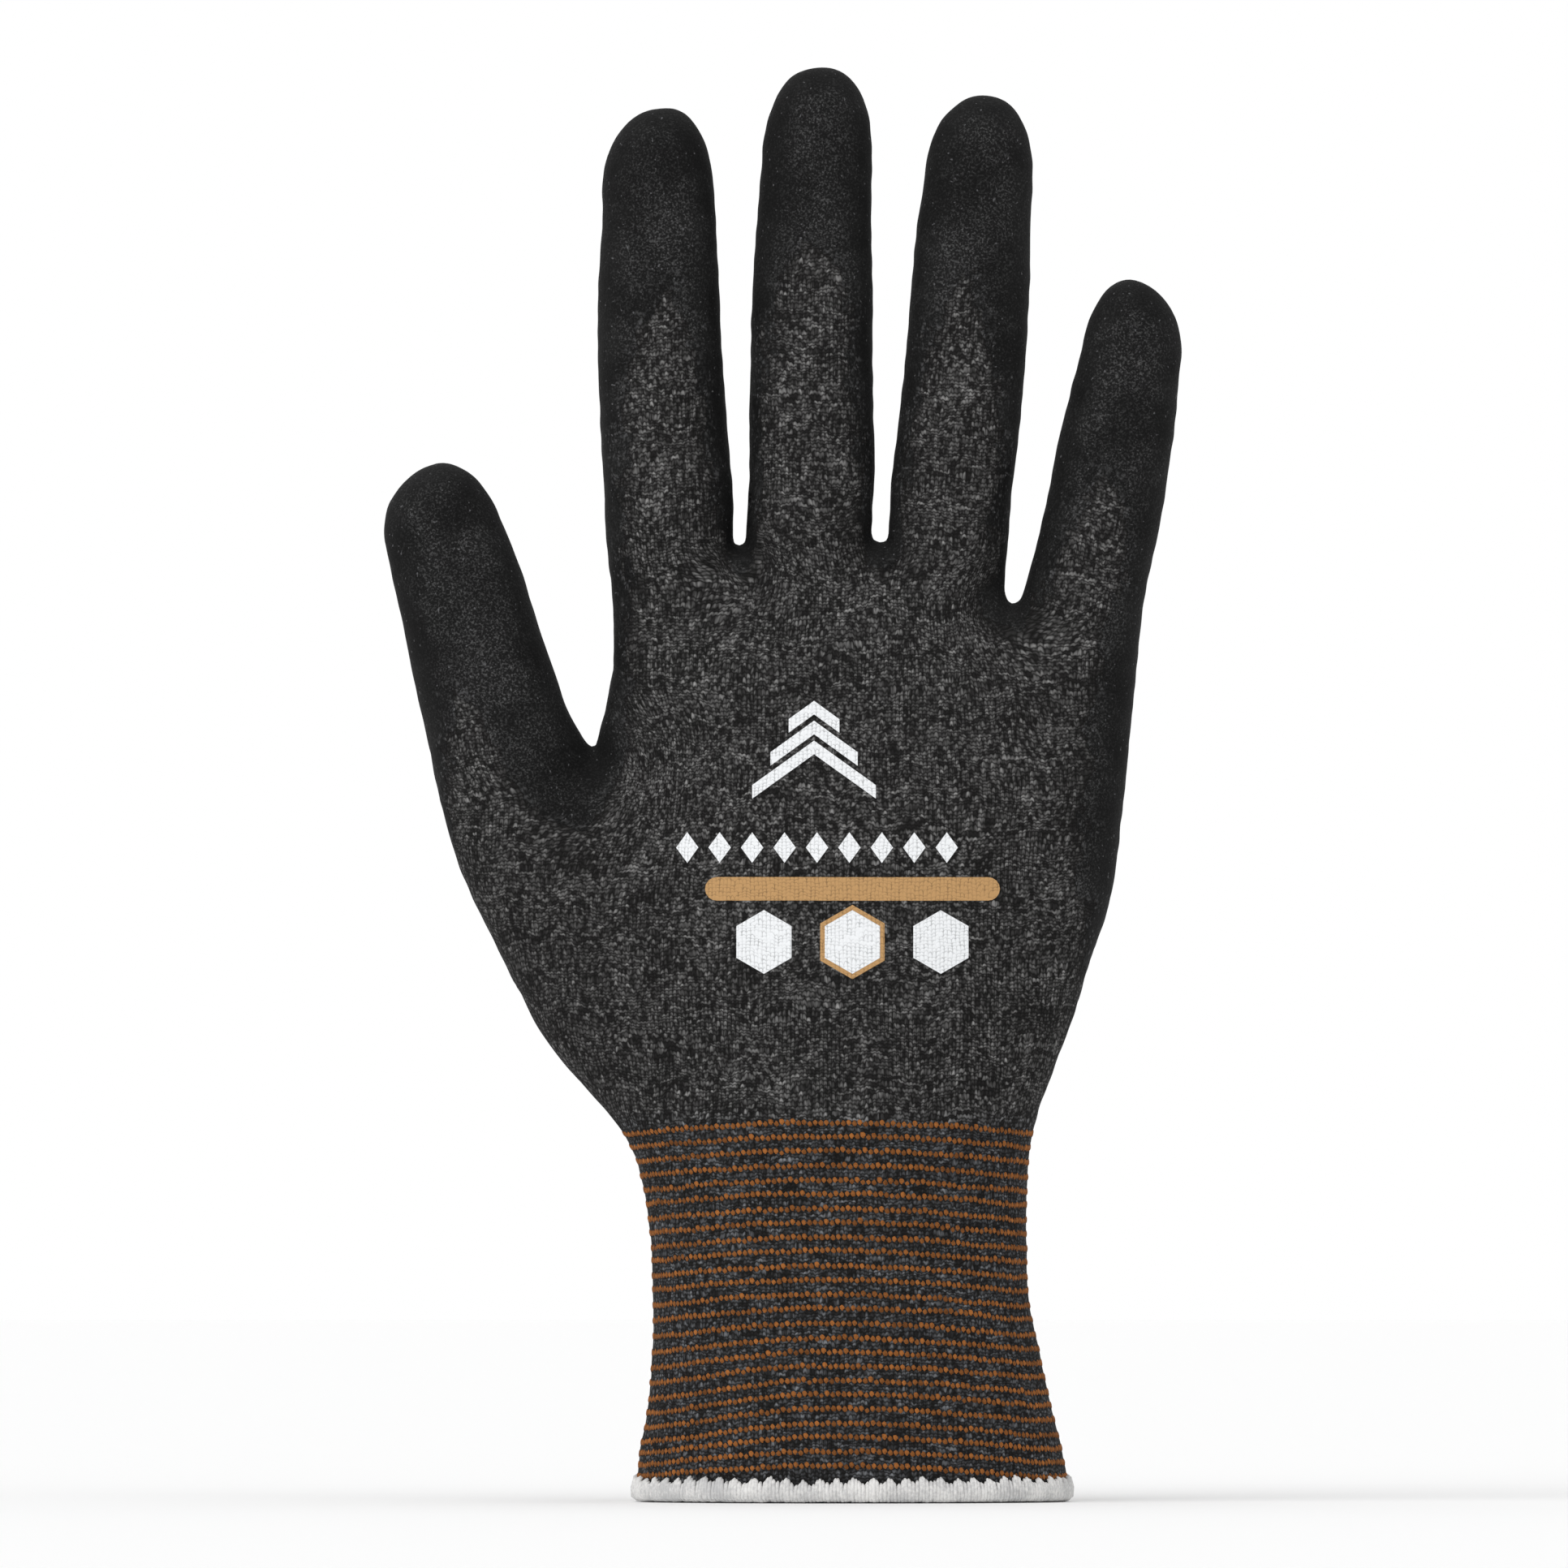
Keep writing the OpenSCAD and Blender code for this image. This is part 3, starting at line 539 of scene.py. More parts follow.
def yarn_material(name, dark, light, scale, in_loops=False):
    """Spun yarn with fibres. One knitted in loops gets painted shade between its loops, and a random tone per loop."""
    m = Nodes(name, 0.8, specular=0.12)
    place = m.place()
    fibre = m.noise(place, scale, 3.0, 0.65)
    slow = m.noise(place, scale / 12, 1.0)
    share = m.math("MULTIPLY_ADD", slow, 0.45, m.math("MULTIPLY", fibre, 0.55))
    shade = m.ramp(share, 0.36, 0.64)
    if in_loops:
        # painted shade between the loops, times each loop's random tone, from a point attribute
        shade = m.math("MULTIPLY", m.ramp(share, 0.3, 0.6, 0.35, 1.0), m.attribute("loop"))
    return m.finish(m.mix(shade, linear(*dark), linear(*light)), fibre, 0.08, 0.6)


def print_material(name, color):
    m = Nodes(name, 0.75, specular=0.15)
    _, yarn, stroke, leg, _ = stitch_grid(m)
    shape = m.math("MULTIPLY", stroke, leg)
    # the print is darker between the stitches and where the yarn noise is low
    darker_share = m.math("MULTIPLY", m.ramp(yarn, 0.3, 0.7, 1.0, 0.0), m.ramp(shape, 0.0, 0.5, 1.0, 0.0))
    low = tuple(v * 0.62 for v in color)
    return m.finish(m.mix(m.math("MULTIPLY", darker_share, 0.8), linear(*color), linear(*low)), shape, 0.1, 0.4)


knit = knit_material()
coating = coating_material()
stripe_yarn = yarn_material("stripe_yarn", (62, 37, 18), (164, 102, 50), 2.6, in_loops=True)
hem_thread = yarn_material("hem_thread", (190, 190, 190), (228, 227, 225), 1.9)
elastic_yarn = yarn_material("elastic_yarn", (96, 94, 90), (140, 137, 130), 1.9)
white_print = print_material("white_print", (236, 238, 240))
tan_print = print_material("tan_print", (186, 146, 98))


# Skin: cut off at the hem, then cut across at the edges of its sections
HEM_CUT = 0.6
SECTION_Z = [65.0, 118.0]
ROOT_CUT = 10.0
mid_cut = {n: sum(digits[n].joints) / 2 for n in FINGERS}
mid_cut["thumb"] = 15.0

work = bpy.data.meshes.new("skin")
work.from_pydata(skin_co.tolist(), [], skin_quads.tolist())
bm = bmesh.new()
bm.from_mesh(work)


def cut(co, no, keep, clear=False):
    faces = [f for f in bm.faces if keep(f.calc_center_median())]
    geom = set(faces)
    for f in faces:
        geom.update(f.edges)
        geom.update(f.verts)
    bmesh.ops.bisect_plane(bm, geom=list(geom), dist=1e-4, plane_co=co, plane_no=no, clear_inner=clear)


cut((0, 0, HEM_CUT), (0, 0, 1), lambda c: c.z < 3, True)
for z in SECTION_Z:
    cut((0, 0, z), (0, 0, 1), lambda c: abs(c.z - z) < 2)
for name, d in digits.items():
    for s in (0.0 if name == "thumb" else ROOT_CUT, mid_cut[name]):

        def near(c, d=d, s=s):
            along, across = d.local(c.x, c.z)
            return abs(along - s) < 2 and abs(across) < 14.5

        cut(tuple(d.at(s)), (d.sin, 0, d.cos), near)
bmesh.ops.recalc_face_normals(bm, faces=bm.faces)
bm.to_mesh(work)
bm.free()

co = np.empty(len(work.vertices) * 3, np.float32)
work.vertices.foreach_get("co", co)
co = co.reshape(-1, 3).astype(float)
normal = np.empty(len(work.vertices) * 3, np.float32)
work.vertex_normals.foreach_get("vector", normal)
normal = normal.reshape(-1, 3).astype(float)
flip = (normal * (co - co.mean(0))).sum() < 0
if flip:
    normal = -normal
faces = [list(p.vertices)[::-1] if flip else list(p.vertices) for p in work.polygons]
centre = np.empty(len(work.polygons) * 3, np.float32)
work.polygons.foreach_get("center", centre)
centre = centre.reshape(-1, 3).astype(float)
bpy.data.meshes.remove(work)


# Section of the skin that each face belongs to
above_cuff = np.where(centre[:, 2] < SECTION_Z[1], "hand", "palm")
section = np.where(centre[:, 2] < SECTION_Z[0], "cuff", above_cuff).astype("U12")
off_axis = np.array([np.abs(d.local(centre[:, 0], centre[:, 2])[1]) for d in digits.values()])
nearest = np.argmin(off_axis, axis=0)
for k, (name, d) in enumerate(digits.items()):
    s, u = d.local(centre[:, 0], centre[:, 2])
    mine = (nearest == k) & (np.abs(u) < 15)
    section[mine & (s > (0 if name == "thumb" else ROOT_CUT))] = name + "_mid"
    section[mine & (s > mid_cut[name])] = name + "_tip"


# Unrolled place of each skin point, in mm: round the section and along it
ARC_STEPS = 120
TABLE_STEP = 3.0
HAND_FROM, DIGIT_FROM = -6, -24


def arc_table(a, b, e):
    """Lengths round each superellipse of half width a, half depth b and squareness e, from the back to the palm."""
    t = np.linspace(0, math.pi, ARC_STEPS + 1)
    r = (np.abs(np.sin(t)) ** e[:, None] + np.abs(np.cos(t)) ** e[:, None]) ** (-1 / e[:, None])
    x, y = a[:, None] * r * np.sin(t), -b[:, None] * r * np.cos(t)
    step = np.hypot(np.diff(x, axis=1), np.diff(y, axis=1))
    return np.concatenate([np.zeros((len(a), 1)), np.cumsum(step, axis=1)], axis=1)


def arc(table, low, at, x, y):
    """Length round the section from the middle of the back."""
    t = np.arctan2(np.abs(x), -y)
    i = np.clip((at - low) / TABLE_STEP, 0, len(table) - 1.001)
    k = np.clip(t / math.pi * ARC_STEPS, 0, ARC_STEPS - 0.001)
    i0, k0 = i.astype(int), k.astype(int)
    di, dk = i - i0, k - k0
    a = table[i0, k0] * (1 - dk) + table[i0, k0 + 1] * dk
    b = table[i0 + 1, k0] * (1 - dk) + table[i0 + 1, k0 + 1] * dk
    return np.sign(x) * (a * (1 - di) + b * di)


def unroll(p):
    """Distance round the glove and height, which run on from the hand into each digit."""
    x, y, z = p.T
    w = weights(x, z)
    zs = np.arange(HAND_FROM, 176, TABLE_STEP)
    _, a = hand_middle(zs)
    b, e = curve(zs, DEPTH[:, 0], DEPTH[:, 1]), curve(zs, DEPTH[:, 0], DEPTH[:, 3])
    middle, half = hand_middle(z)
    depth = curve(z, DEPTH[:, 0], DEPTH[:, 1])
    shift = curve(z, DEPTH[:, 0], DEPTH[:, 2])
    u = arc(arc_table(a, b, e), HAND_FROM, z, (x - middle) / half, (y + shift) / depth)
    u, v = (u + middle) * w["hand"], z * w["hand"]
    for name, d in digits.items():
        s, across = d.local(x, z)
        ss = np.arange(DIGIT_FROM, 90, TABLE_STEP)
        half, depth = d.size(ss)
        table = arc_table(half, depth, np.full(len(ss), DIGIT_SQUARE))
        half, depth = d.size(s)
        round_u = arc(table, DIGIT_FROM, s, across / half, (y - d.centre_y(s)) / depth)
        u, v = u + w[name] * (round_u + d.root[0]), v + w[name] * (s + d.root[1])
    return np.stack([u, v], axis=1)


# Where the coating lies: above 0 on it, in mm from its edge. Finger crotches with the reach of their coating
CROTCHES = [(-19.3, 164.2, 3.6), (4.8, 164.6, 3.8), (27.2, 154.2, 5.0)]


def wave(p, size, seed):
    """Smooth waves between -1 and 1 about that size across, from a seeded sum of sines."""
    r = np.random.default_rng(seed)
    total = np.zeros(len(p))
    for _ in range(9):
        k = r.normal(size=3)
        k *= 2 * math.pi / size / np.linalg.norm(k) * r.uniform(0.6, 1.6)
        total += np.sin(p @ k + r.uniform(0, 7))
    return total / 3.2


def coat_reach(p):
    """How far inside the coating's edge a place lies."""
    x, y, z = p.T
    c = sample(mid_y, x, z)
    b = sample(half_d, x, z)
    inset = np.maximum(sample(edge, x, z), 0)
    palm_side = (y - c) / b
    w = weights(x, z)
    # edges of the hand on its back, wider at the little finger side and fading out at the heel
    hand_left = curve(z, [80, 96, 112, 124], [-5, -3.5, -3, -2])
    hand_right = curve(z, [84, 92, 100, 112, 120, 135, 150, 165], [-2, 1, 3.6, 5.8, 6.5, 6.7, 6.2, 6.5])
    on_back = np.where(x > 34, hand_right, hand_left) - inset
    for px, pz, r in CROTCHES:
        on_back = np.maximum(on_back, r - np.hypot(x - px, z - pz))
    # the thumb's crotch: a wedge up to the side of the index finger
    wedge = curve(
        z, [108, 112, 115, 118.3, 123, 128, 135, 150, 165],
        [-62, -51, -46.5, -43.3, -41, -39.7, -38.6, -37.9, -38.4]) - x
    on_back = np.maximum(on_back, np.where(x > THUMB_SIDE, wedge, -20))
    total = 0
    for name in ["thumb", *FINGERS]:
        d = digits[name]
        t = np.array(TONGUES[name], float)
        s, u = d.local(x, z)
        tongue = np.maximum(curve(s, t[:, 0], t[:, 1]) - u, u - curve(s, t[:, 0], t[:, 2]))
        tongue = np.where(s > t[-1, 0], np.maximum(tongue, (s - t[-1, 0]) * 0.8), tongue)
        if name == "thumb":
            on_back = np.where((x < THUMB_SIDE) & (z > 100), np.maximum(on_back, tongue), on_back)
            total = w["hand"] * np.clip(on_back, -20, 20)
        total = total + w[name] * np.clip(tongue, -20, 20)
    over = np.clip((palm_side - 0.05) * b * 1.3, -30, 30)
    total = np.maximum(total, over)
    low = np.minimum(z - COAT_LOW - 1.6 * np.sin(x / 11), 30)
    return np.minimum(total, low)


# Coloured courses of the cuff: how many, the lowest one's height, and the distance from one to the next
STRIPES = 25
STRIPE_LOW, STRIPE_PITCH = 5.3, 2.43


def course_lift(x, z):
    """Courses of the cuff arch up a little in the middle of the back and palm."""
    _, half = hand_middle(np.broadcast_to(np.asarray(z, float), np.shape(x)))
    sag = 1.7 * smooth(6, 34, -x) * smooth(2, 14, z) * (1 - smooth(16, 40, z))
    return 2.1 * (1 - np.clip((x + 4) / half, -1, 1) ** 2) - 1.1 - sag


uv = unroll(co)
even_reach = coat_reach(co)
reach = even_reach + 0.9 * wave(co, 7, 3) + 0.8 * wave(co, 2.6, 4) + 0.5 * wave(co, 1.5, 5)
# flecks fade near the coating, and the coating shows some thread at its edge
bare = 1 - smooth(-1.4 - 1.2 * weights(co[:, 0], co[:, 2])["hand"], 0.4, reach)
to_crotch = np.min([np.hypot(co[:, 0] - px, co[:, 2] - pz) - r for px, pz, r in CROTCHES], axis=0)
# painted shade: the flecks darken towards the finger crotches
bare = bare * (0.55 + 0.45 * smooth(0, 6, to_crotch))
bare = bare * (1 - 0.2 * smooth(28, 46, -co[:, 0]) * (1 - smooth(105, 120, co[:, 2])))
# painted shade: the flecks are darker within 6 mm of the outline, where the sides turn away
bare = bare * (0.86 + 0.14 * smooth(0, 6, sample(edge, co[:, 0], co[:, 2])))
# thread showing at the coating's edge, left out near the crotches as painted shade
near_edge = (1 - smooth(0, 3, reach)) * smooth(-0.5, 2, to_crotch)
# painted sheen: the coating's specks show fully only away from the outline, so the middles of the digits look lit and
# their sides shaded
lit_middle = 0.25 + 0.75 * smooth(1.5, 6.5, sample(edge, co[:, 0], co[:, 2]) + 0.6 * wave(co, 5, 6))
in_cuff = 1 - smooth(62, 67, co[:, 2])
turn = (co[:, 2] - course_lift(co[:, 0], co[:, 2]) - STRIPE_LOW) / STRIPE_PITCH
# painted shadow: in the cuff the flecks darken beside each coloured course and show mostly between them
bare = bare * (1 - in_cuff * (1 - 0.2 - 0.75 * np.sin(math.pi * turn) ** 2))


def wrinkle(p):
    """Slight unevenness of the skin."""
    return (0.10 * wave(p, 17, 8) + 0.05 * wave(p, 6, 9))[:, None]


co = co + normal * wrinkle(co)


def shell(name, picked, out_lift, in_lift, material, values):
    """Closed shell over some faces of the skin, from one offset to another."""
    used = np.unique(np.concatenate([np.array(f) for f in picked]))
    renum = np.full(len(co), -1)
    renum[used] = np.arange(len(used))
    n = len(used)
    top = [[int(renum[v]) for v in f] for f in picked]
    under = [[v + n for v in f[::-1]] for f in top]
    seen = {}
    for f in top:
        for a, b in zip(f, f[1:] + f[:1]):
            seen[(a, b)] = seen.get((a, b), 0) + 1
    rim = [[b, a, a + n, b + n] for a, b in seen if (b, a) not in seen]
    pts = np.vstack([co[used] + normal[used] * to[used, None] for to in (out_lift, in_lift)])
    return new_object(
        name, pts, top + under + rim, material, uv=np.vstack([uv[used]] * 2),
        normals=np.vstack([normal[used], -normal[used]]), values={k: np.tile(v[used], 2) for k, v in values.items()})


SECTIONS = ["cuff", "hand", "palm"] + [n + part for n in digits for part in ("_mid", "_tip")]
# Faces that the coating's edge crosses are cut along it, at points added to the skin
added, cut_points = [], {}


def edge_point(a, b):
    """Point where the coating's edge crosses from one skin point to another."""
    key = (min(a, b), max(a, b))
    if key not in cut_points:
        cut_points[key] = len(co) + len(added)
        added.append((*key, np.clip(reach[key[0]] / (reach[key[0]] - reach[key[1]]), 0.03, 0.97)))
    return cut_points[key]


def coated(f):
    """The part of a face that is coated."""
    made = []
    for a, b in zip(f, f[1:] + f[:1]):
        if reach[a] > 0:
            made.append(a)
        if (reach[a] > 0) != (reach[b] > 0):
            made.append(edge_point(a, b))
    return made


coat_faces = [coated(f) for f in faces]
low, high = np.array([a[:2] for a in added]).T
share = np.array([a[2] for a in added])[:, None]


def extend(values):
    """Values on the skin, with those of the added points."""
    flat = values.reshape(len(values), -1)
    more = flat[low] * (1 - share) + flat[high] * share
    return np.vstack([flat, more]).reshape((-1,) + values.shape[1:])


uv_jump = np.abs(uv[low, 0] - uv[high, 0]) > UV_WRAP
co, normal, bare, in_cuff, near_edge, lit_middle, reach, even_reach = map(
    extend, (co, normal, bare, in_cuff, near_edge, lit_middle, reach, even_reach))
uv_low = uv[low]
uv = extend(uv)
uv[-len(low):][uv_jump] = uv_low[uv_jump]
zero = np.zeros(len(co))
# The film is thin along its edge, where it soaks into the knit
FILM_EDGE, FILM_UNDER = 0.03, 0.012
lift = FILM_EDGE + (COAT_T - FILM_EDGE) * smooth(-1, 4.5, even_reach) * smooth(0, 1.2, reach)
pieces = {}
for name in SECTIONS:
    mine = np.where(section == name)[0]
    pieces[name + "_knit"] = shell(
        name + "_knit_fabric", [faces[i] for i in mine], zero, zero - KNIT_T, knit, {"bare": bare, "cuff": in_cuff})
    film_faces = [coat_faces[i] for i in mine if len(coat_faces[i]) > 2]
    if film_faces:
        pieces[name + "_coat"] = shell(
            name + "_coating_film", film_faces, lift, zero + FILM_UNDER, coating,
            {"bare": near_edge, "middle": lit_middle})


# Yarns
def tube(path, normals, radius, sides, closed=True, flat=1.0):
    """Tube round a path, with its cross-section squashed along the normals."""
    n = len(path)
    if closed:
        tangent = np.roll(path, -1, 0) - np.roll(path, 1, 0)
    else:
        tangent = np.gradient(path, axis=0)
    tangent /= np.linalg.norm(tangent, axis=1, keepdims=True)
    side = np.cross(tangent, normals)
    side /= np.linalg.norm(side, axis=1, keepdims=True)
    up = np.cross(side, tangent)
    a = np.arange(sides) / sides * 2 * math.pi
    radius = np.broadcast_to(radius, (n,))
    pts = path[:, None, :] + radius[:, None, None] * (
        np.cos(a)[None, :, None] * side[:, None, :] + flat * np.sin(a)[None, :, None] * up[:, None, :])
    ids = np.arange(n * sides).reshape(n, sides)
    nxt = np.roll(ids, -1, 0) if closed else ids[1:]
    cur = ids if closed else ids[:-1]
    quads = np.stack([cur, np.roll(cur, -1, 1), np.roll(nxt, -1, 1), nxt], axis=-1).reshape(-1, 4).tolist()
    if not closed:
        quads += [ids[0][::-1].tolist(), ids[-1].tolist()]
    return pts.reshape(-1, 3), quads


def collect(parts):
    """One mesh from several."""
    pts, quads, n = [], [], 0
    for p, q in parts:
        pts.append(p)
        quads += [[v + n for v in f] for f in q]
        n += len(p)
    return np.vstack(pts), quads


# Coloured courses: each loop shows as a bead, and every second one lies lower. Painted shade darkens the dips between
# beads and every second, lower bead
BEAD, BEAD_PARTS, TUBE_SIDES = 0.95, 8, 6
STRIPE_GROUPS = 5
for g in range(STRIPE_GROUPS):
    parts, loops = [], []
    for i in range(g * STRIPES // STRIPE_GROUPS, (g + 1) * STRIPES // STRIPE_GROUPS):
        z = STRIPE_LOW + i * STRIPE_PITCH + rng.uniform(-0.12, 0.12)
        _, _, length = ring_on_skin(z, 8, 0, course_lift)
        beads = 2 * int(round(length / BEAD / 2))
        p, n, _ = ring_on_skin(z, beads * BEAD_PARTS, 0.0, course_lift)
        t = np.arange(beads * BEAD_PARTS) / BEAD_PARTS
        phase = 2 * math.pi * t
        alternate = np.cos(math.pi * t)
        jitter = np.roll(np.repeat(rng.normal(0, 0.07, beads), BEAD_PARTS), -BEAD_PARTS // 2)
        bright = np.roll(np.repeat(rng.uniform(0.65, 1.0, beads), BEAD_PARTS), -BEAD_PARTS // 2)
        tangent = np.roll(p, -1, 0) - np.roll(p, 1, 0)
        tangent /= np.linalg.norm(tangent, axis=1, keepdims=True)
        upward = np.cross(tangent, n)
        upward *= np.sign(upward[:, 2:3])
        rise = 0.08 * alternate - 0.27 * np.sin(phase) + jitter + 0.1 * wave(p, 14, 40 + i)
        out = -0.34 + 0.16 * np.cos(phase) + jitter * 0.3 + wrinkle(p)[:, 0]
        path = p + upward * rise[:, None] + n * out[:, None]
        parts.append(tube(path, n, 0.52 + 0.03 * np.cos(phase), sides=TUBE_SIDES, flat=0.68))
        # each bead: a random tone, with painted shade in the dips between beads and on every second, lower bead
        loops.append(np.repeat(bright * (0.64 + 0.36 * np.cos(phase)) * (0.84 + 0.16 * alternate), TUBE_SIDES))
    pts, quads = collect(parts)
    pieces["stripes_%d" % g] = new_object(
        "cuff_stripe_courses_%d" % g, pts, quads, stripe_yarn, values={"loop": np.concatenate(loops)})

# Elastic yarn inside the cuff, between the coloured courses
ELASTIC_POINTS, RIPPLES = 360, 90
ripple = 0.09 * np.sin(np.arange(ELASTIC_POINTS) / ELASTIC_POINTS * 2 * math.pi * RIPPLES)
parts = []
for i in range(STRIPES - 1):
    z = STRIPE_LOW + (i + 0.5) * STRIPE_PITCH
    p, n, _ = ring_on_skin(z, ELASTIC_POINTS, -1.45, course_lift)
    parts.append(tube(p + n * ripple[:, None], n, 0.26, sides=5))
pts, quads = collect(parts)
pieces["elastic"] = new_object("cuff_elastic_inlay", pts, quads, elastic_yarn)

# Hem: a core roll round the edge, wrapped by bulky overedge stitches that gather into teeth
parts = []
CORE_Z, CORE_OUT, HEM_TOP = 1.6, -0.5, 3.85
p, n, length = ring_on_skin(CORE_Z, 420, CORE_OUT)
p[:, 2] = CORE_Z
parts.append(tube(p, n, 1.05 + 0.05 * wave(p, 4, 70), sides=10, flat=1.15))
WRAP_PITCH = 0.6
wraps = int(length / WRAP_PITCH)
p, n, _ = ring_on_skin(2.0, wraps, 0.0)
teeth = np.cumsum(rng.uniform(0.16, 0.27, wraps))
tooth = 0.5 * np.sin(2 * math.pi * teeth) * rng.uniform(0.6, 1.1, wraps) + 0.25 * wave(p, 9, 71)
for i in range(wraps):
    q, m = p[i], n[i]
    along = np.cross(m, [0, 0, 1.0])
    along /= np.linalg.norm(along)
    top = HEM_TOP + tooth[i]
    slant = -0.22 * math.cos(2 * math.pi * teeth[i]) + rng.normal(0, 0.06)
    profile = [(0.02, top, slant), (0.42, top - 0.35, slant * 0.8), (0.72, top * 0.55, slant * 0.3), (0.62, 1.05, 0),
               (0.05, 0.62, -0.1), (-0.75, 0.6, -0.1), (-1.5, 0.95, 0), (-1.72, 1.9, 0.1), (-1.5, 3.0, 0.2)]
    path = np.array([q + m * o + along * sl + np.array([0, 0, zz - q[2]]) for o, zz, sl in profile])
    path += rng.normal(0, 0.04, path.shape)
    away = path - (q + m * CORE_OUT + np.array([0, 0, CORE_Z - q[2]]))
    away -= np.outer(away @ along, along)
    away /= np.linalg.norm(away, axis=1, keepdims=True)
    thick = np.array([0.22, 0.4, 0.48, 0.5, 0.46, 0.44, 0.42, 0.4, 0.25]) * rng.uniform(0.9, 1.1)
    parts.append(tube(path, away, thick, sides=TUBE_SIDES, closed=False))
pts, quads = collect(parts)
pieces["hem"] = new_object("hem_overlock_stitches", pts, quads, hem_thread)


# Print on the back of the hand: thin films of plain shapes
def on_back(x, z, out):
    """Points over the back of the skin, and their normals."""
    low, high = np.full(len(x), -32.0), sample(mid_y, x, z)
    for _ in range(30):
        y = (low + high) / 2
        outside = skin_at(x, y, z) > 0
        low, high = np.where(outside, y, low), np.where(outside, high, y)
    p = np.stack([x, low, z], axis=1)
    n = skin_normal(p)
    return p + n * (out + wrinkle(p)), n


PRINT_STEP = 0.6


def film(name, shapes, low, high, material):
    """Flat shapes with outward corners, laid on the back as closed films."""
    pts, normals, faces_made = [], [], []
    count = 0
    for points in shapes:
        points = np.array(points, float)
        ends = np.vstack([points, points[:1]])
        zs = np.unique(np.round(points[:, 1], 4))
        steps = [np.linspace(a, b, max(int((b - a) / PRINT_STEP), 1) + 1)[:-1] for a, b in zip(zs, zs[1:])]
        zs = np.concatenate(steps + [zs[-1:]])
        zs[0], zs[-1] = zs[0] + 0.01, zs[-1] - 0.01
        cols = max(int(np.ptp(points[:, 0]) / PRINT_STEP), 2)
        rows = []
        for z in zs:
            hits = []
            for (ax, az), (bx, bz) in zip(ends, ends[1:]):
                if az != bz and min(az, bz) <= z <= max(az, bz):
                    hits.append(ax + (z - az) / (bz - az) * (bx - ax))
            rows.append(np.stack([np.linspace(min(hits), max(hits), cols + 1), np.full(cols + 1, z)], axis=1))
        flat_pts = np.vstack(rows)
        for out in (high, low):
            p, n = on_back(flat_pts[:, 0], flat_pts[:, 1], out)
            pts.append(p)
            normals.append(n if out == high else -n)
        ids = np.arange(len(flat_pts)).reshape(len(zs), cols + 1)
        top = np.stack([ids[:-1, :-1], ids[:-1, 1:], ids[1:, 1:], ids[1:, :-1]], axis=-1).reshape(-1, 4)
        border = [*ids[0], *ids[1:, -1], *ids[-1, -2::-1], *ids[-2:0:-1, 0]]
        n = len(flat_pts)
        made = top.tolist() + (top[:, ::-1] + n).tolist()
        made += [[b, a, a + n, b + n] for a, b in zip(border, border[1:] + border[:1])]
        faces_made += [[v + count for v in f] for f in made]
        count += 2 * n
    pts = np.vstack(pts)
    return new_object(name, pts, faces_made, material, uv=unroll(pts), normals=np.vstack(normals))


def round_bar(x0, x1, z0, z1):
    r = (z1 - z0) / 2
    a = np.linspace(-math.pi / 2, math.pi / 2, 9)
    right = [(x1 - r + r * math.cos(t), z0 + r + r * math.sin(t)) for t in a]
    left = [(x0 + r - r * math.cos(t), z0 + r + r * math.sin(t)) for t in a[::-1]]
    return right + left


def hexagon(x, z, r):
    return [(x + r * math.sin(t), z + r * math.cos(t)) for t in np.arange(6) * math.pi / 3]


CHEVRON_X, CHEVRON_T = -6.5, 2.3
chevrons = []
for k, span in enumerate([10.5, 7.4, 4.3]):
    z = 119.5 + k * 5.6
    peak = z + span * 0.72
    for end in (CHEVRON_X - span, CHEVRON_X + span):
        chevrons.append([(CHEVRON_X, peak), (CHEVRON_X, peak + CHEVRON_T), (end, z + CHEVRON_T), (end, z)])
lozenges = [[(x, 108.6), (x + 1.9, 111.2), (x, 113.8), (x - 1.9, 111.2)] for x in np.arange(-28, 16.1, 5.5)]
PAD_Z = 95.2
pads = [hexagon(x, PAD_Z, 5.4) for x in (-15, 0, 15)]
tan_shapes = [round_bar(-25, 25, 102.2, 106.2), hexagon(0, PAD_Z, 6.3)]
pieces["print_white"] = film("print_white_marks", chevrons + lozenges, 0.03, 0.09, white_print)
pieces["print_tan"] = film("print_tan_bar", tan_shapes, 0.03, 0.08, tan_print)
pieces["print_pads"] = film("print_white_pads", pads, 0.09, 0.13, white_print)


# Joint points of the bodies; each piece's transform is baked and the imported parts it stands for are hidden
def m3(x, y, z):
    return (x * MM, y * MM, z * MM)


WRIST = (m3(0, 0, 54), m3(0, 0, 78))
lean = math.radians(4)
knuckle_mid = np.array([3.85, 0, 138])
knuckle_dir = np.array([math.sin(lean), 0, math.cos(lean)])
KNUCKLES = tuple(m3(*(knuckle_mid + knuckle_dir * t)) for t in (-9, 9))


def stretch(name, low, high):
    return m3(*digits[name].at(low)), m3(*digits[name].at(high))


def both(key, a, b, start, end, knit_nodes, coat_nodes):
    """Bake the transforms of a section's knit and coating pieces, and hide the parts of model.glb they stand for."""
    for kind, nodes in (("_knit", knit_nodes), ("_coat", coat_nodes)):
        if key + kind in pieces:
            obj = pieces[key + kind]
            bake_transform(obj)
            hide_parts(*nodes)


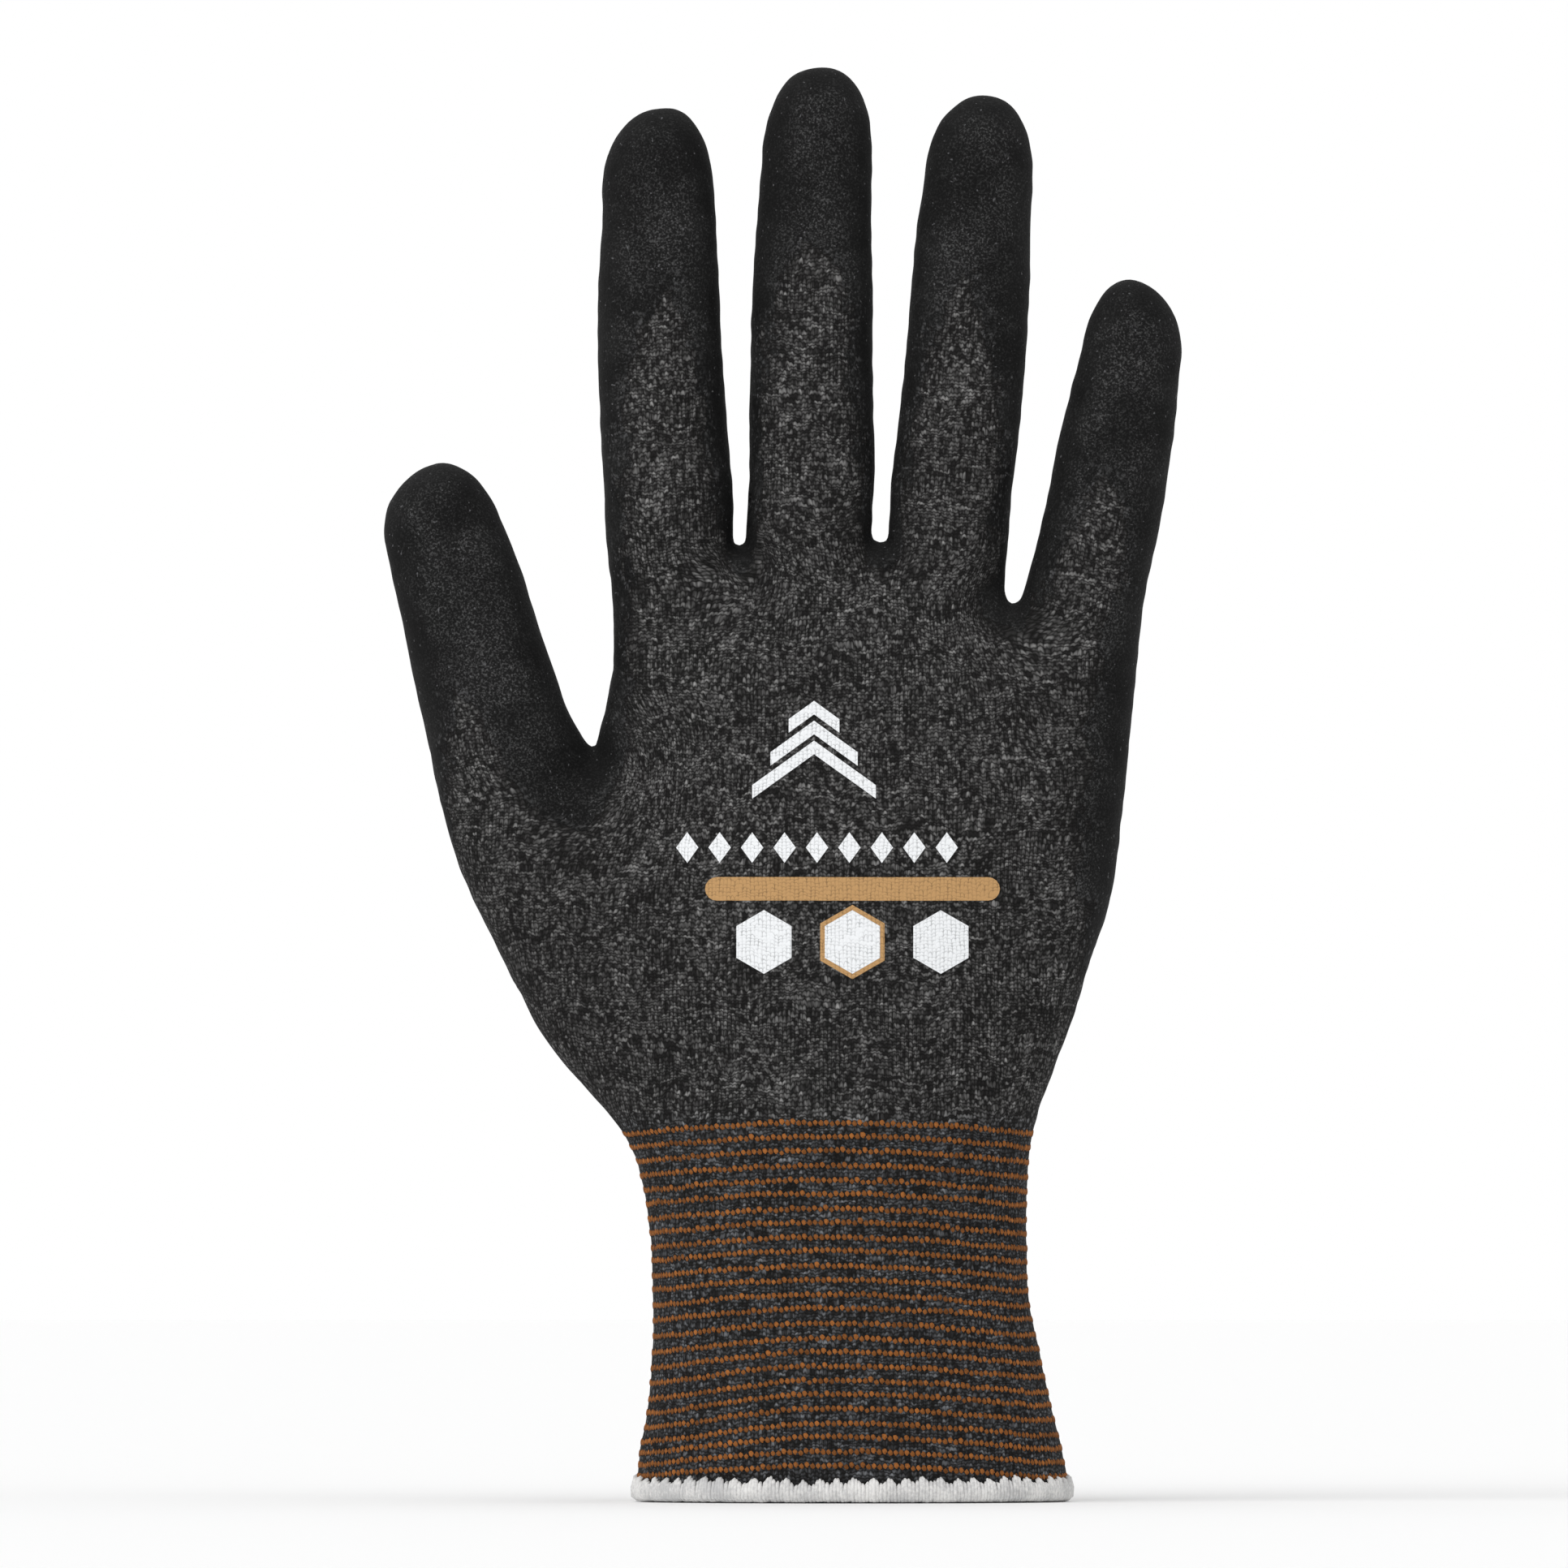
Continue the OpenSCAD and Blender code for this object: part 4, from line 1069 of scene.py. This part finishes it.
both("cuff", "cuff", "hand", *WRIST, ["cuff_knit"], [])
both("hand", "cuff", "hand", *WRIST, ["hand_knit"], ["hand_coating"])
roots = [n + "_root" for n in FINGERS]
both("palm", "hand", "knuckles", *KNUCKLES, ["palm_knit", "knuckle_knit", *(r + "_knit" for r in roots)],
     ["palm_coating", "knuckle_coating", *(r + "_coating" for r in roots)])
for name in FINGERS:
    mid, end = digits[name].joints
    room = min(9.0, mid - ROOT_CUT, mid_cut[name] - mid)
    both(name + "_mid", "knuckles", name + "_mid", *stretch(name, mid - room, mid + room),
         [name + "_mid_knit"], [name + "_mid_coating"])
    room = min(9.0, end - mid_cut[name])
    both(name + "_tip", name + "_mid", name + "_tip", *stretch(name, end - room, end + room),
         [name + "_tip_knit"], [name + "_tip_coating"])
both("thumb_mid", "hand", "thumb_root", *stretch("thumb", 0, 14), ["thumb_root_knit"], ["thumb_root_coating"])
both("thumb_tip", "thumb_root", "thumb_tip", *stretch("thumb", 16, 34), ["thumb_tip_knit"], ["thumb_tip_coating"])
for key in ("print_white", "print_tan", "print_pads"):
    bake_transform(pieces[key])
for g in range(STRIPE_GROUPS):
    obj = pieces["stripes_%d" % g]
    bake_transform(obj)
    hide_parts("cuff_stripe_yarns")
for key, node, slot in (("elastic", "cuff_elastic_yarns", "elastic_yarn"), ("hem", "hem_overlock", "hem_thread")):
    obj = pieces[key]
    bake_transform(obj)
    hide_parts(node)


# Camera, floor and light
scene = bpy.context.scene
scene.view_settings.view_transform = "Standard"
LENS = 1200.0
camera_data = bpy.data.cameras.new("camera")
camera_data.lens = LENS
camera_data.sensor_width = 36
camera_data.clip_end = 40
camera = bpy.data.objects.new("camera", camera_data)
scene.collection.objects.link(camera)
FRAME_W = 0.2666
camera.location = (-0.0116, -FRAME_W * LENS / 36, 0.122)
camera.rotation_euler = (math.pi / 2, 0, 0)
scene.camera = camera


def seen_directly(tree):
    """Above 0 for rays from the camera, and for what gloss and glass show."""
    path = tree.nodes.new("ShaderNodeLightPath")
    total = path.outputs["Is Camera Ray"]
    for key in ("Is Glossy Ray", "Is Transmission Ray"):
        add = tree.nodes.new("ShaderNodeMath")
        add.operation = "MAXIMUM"
        tree.links.new(total, add.inputs[0])
        tree.links.new(path.outputs[key], add.inputs[1])
        total = add.outputs[0]
    return total


world = bpy.data.worlds.new("studio")
scene.world = world
world.use_nodes = True
tree = world.node_tree
background = tree.nodes["Background"]
background.inputs["Color"].default_value = (1, 1, 1, 1)
level = tree.nodes.new("ShaderNodeMapRange")
level.inputs["To Min"].default_value = 0.55
level.inputs["To Max"].default_value = 1.0
tree.links.new(seen_directly(tree), level.inputs["Value"])
tree.links.new(level.outputs[0], background.inputs["Strength"])

floor_mesh = bpy.data.meshes.new("floor")
floor_mesh.from_pydata([(-3, -3, 0), (3, -3, 0), (3, 3, 0), (-3, 3, 0)], [], [(0, 1, 2, 3)])
floor = bpy.data.objects.new("floor", floor_mesh)
scene.collection.objects.link(floor)
paint = Nodes("pale_floor", 0.9, specular=0.1)
floor_mesh.materials.append(paint.finish(linear(250, 250, 250)))


def sun(name, toward, strength, spread):
    """Soft light of one level everywhere, shining toward a direction."""
    lamp = bpy.data.lights.new(name, "SUN")
    lamp.energy = strength
    lamp.angle = math.radians(spread)
    obj = bpy.data.objects.new(name, lamp)
    scene.collection.objects.link(obj)
    obj.rotation_euler = Vector(toward).to_track_quat("-Z", "Y").to_euler()


sun("key", (0.8, 0.75, -0.6), 1.25, 60)
sun("fill", (-0.8, 0.6, -0.5), 0.3, 90)
sun("top", (0, 0.1, -1), 0.75, 90)
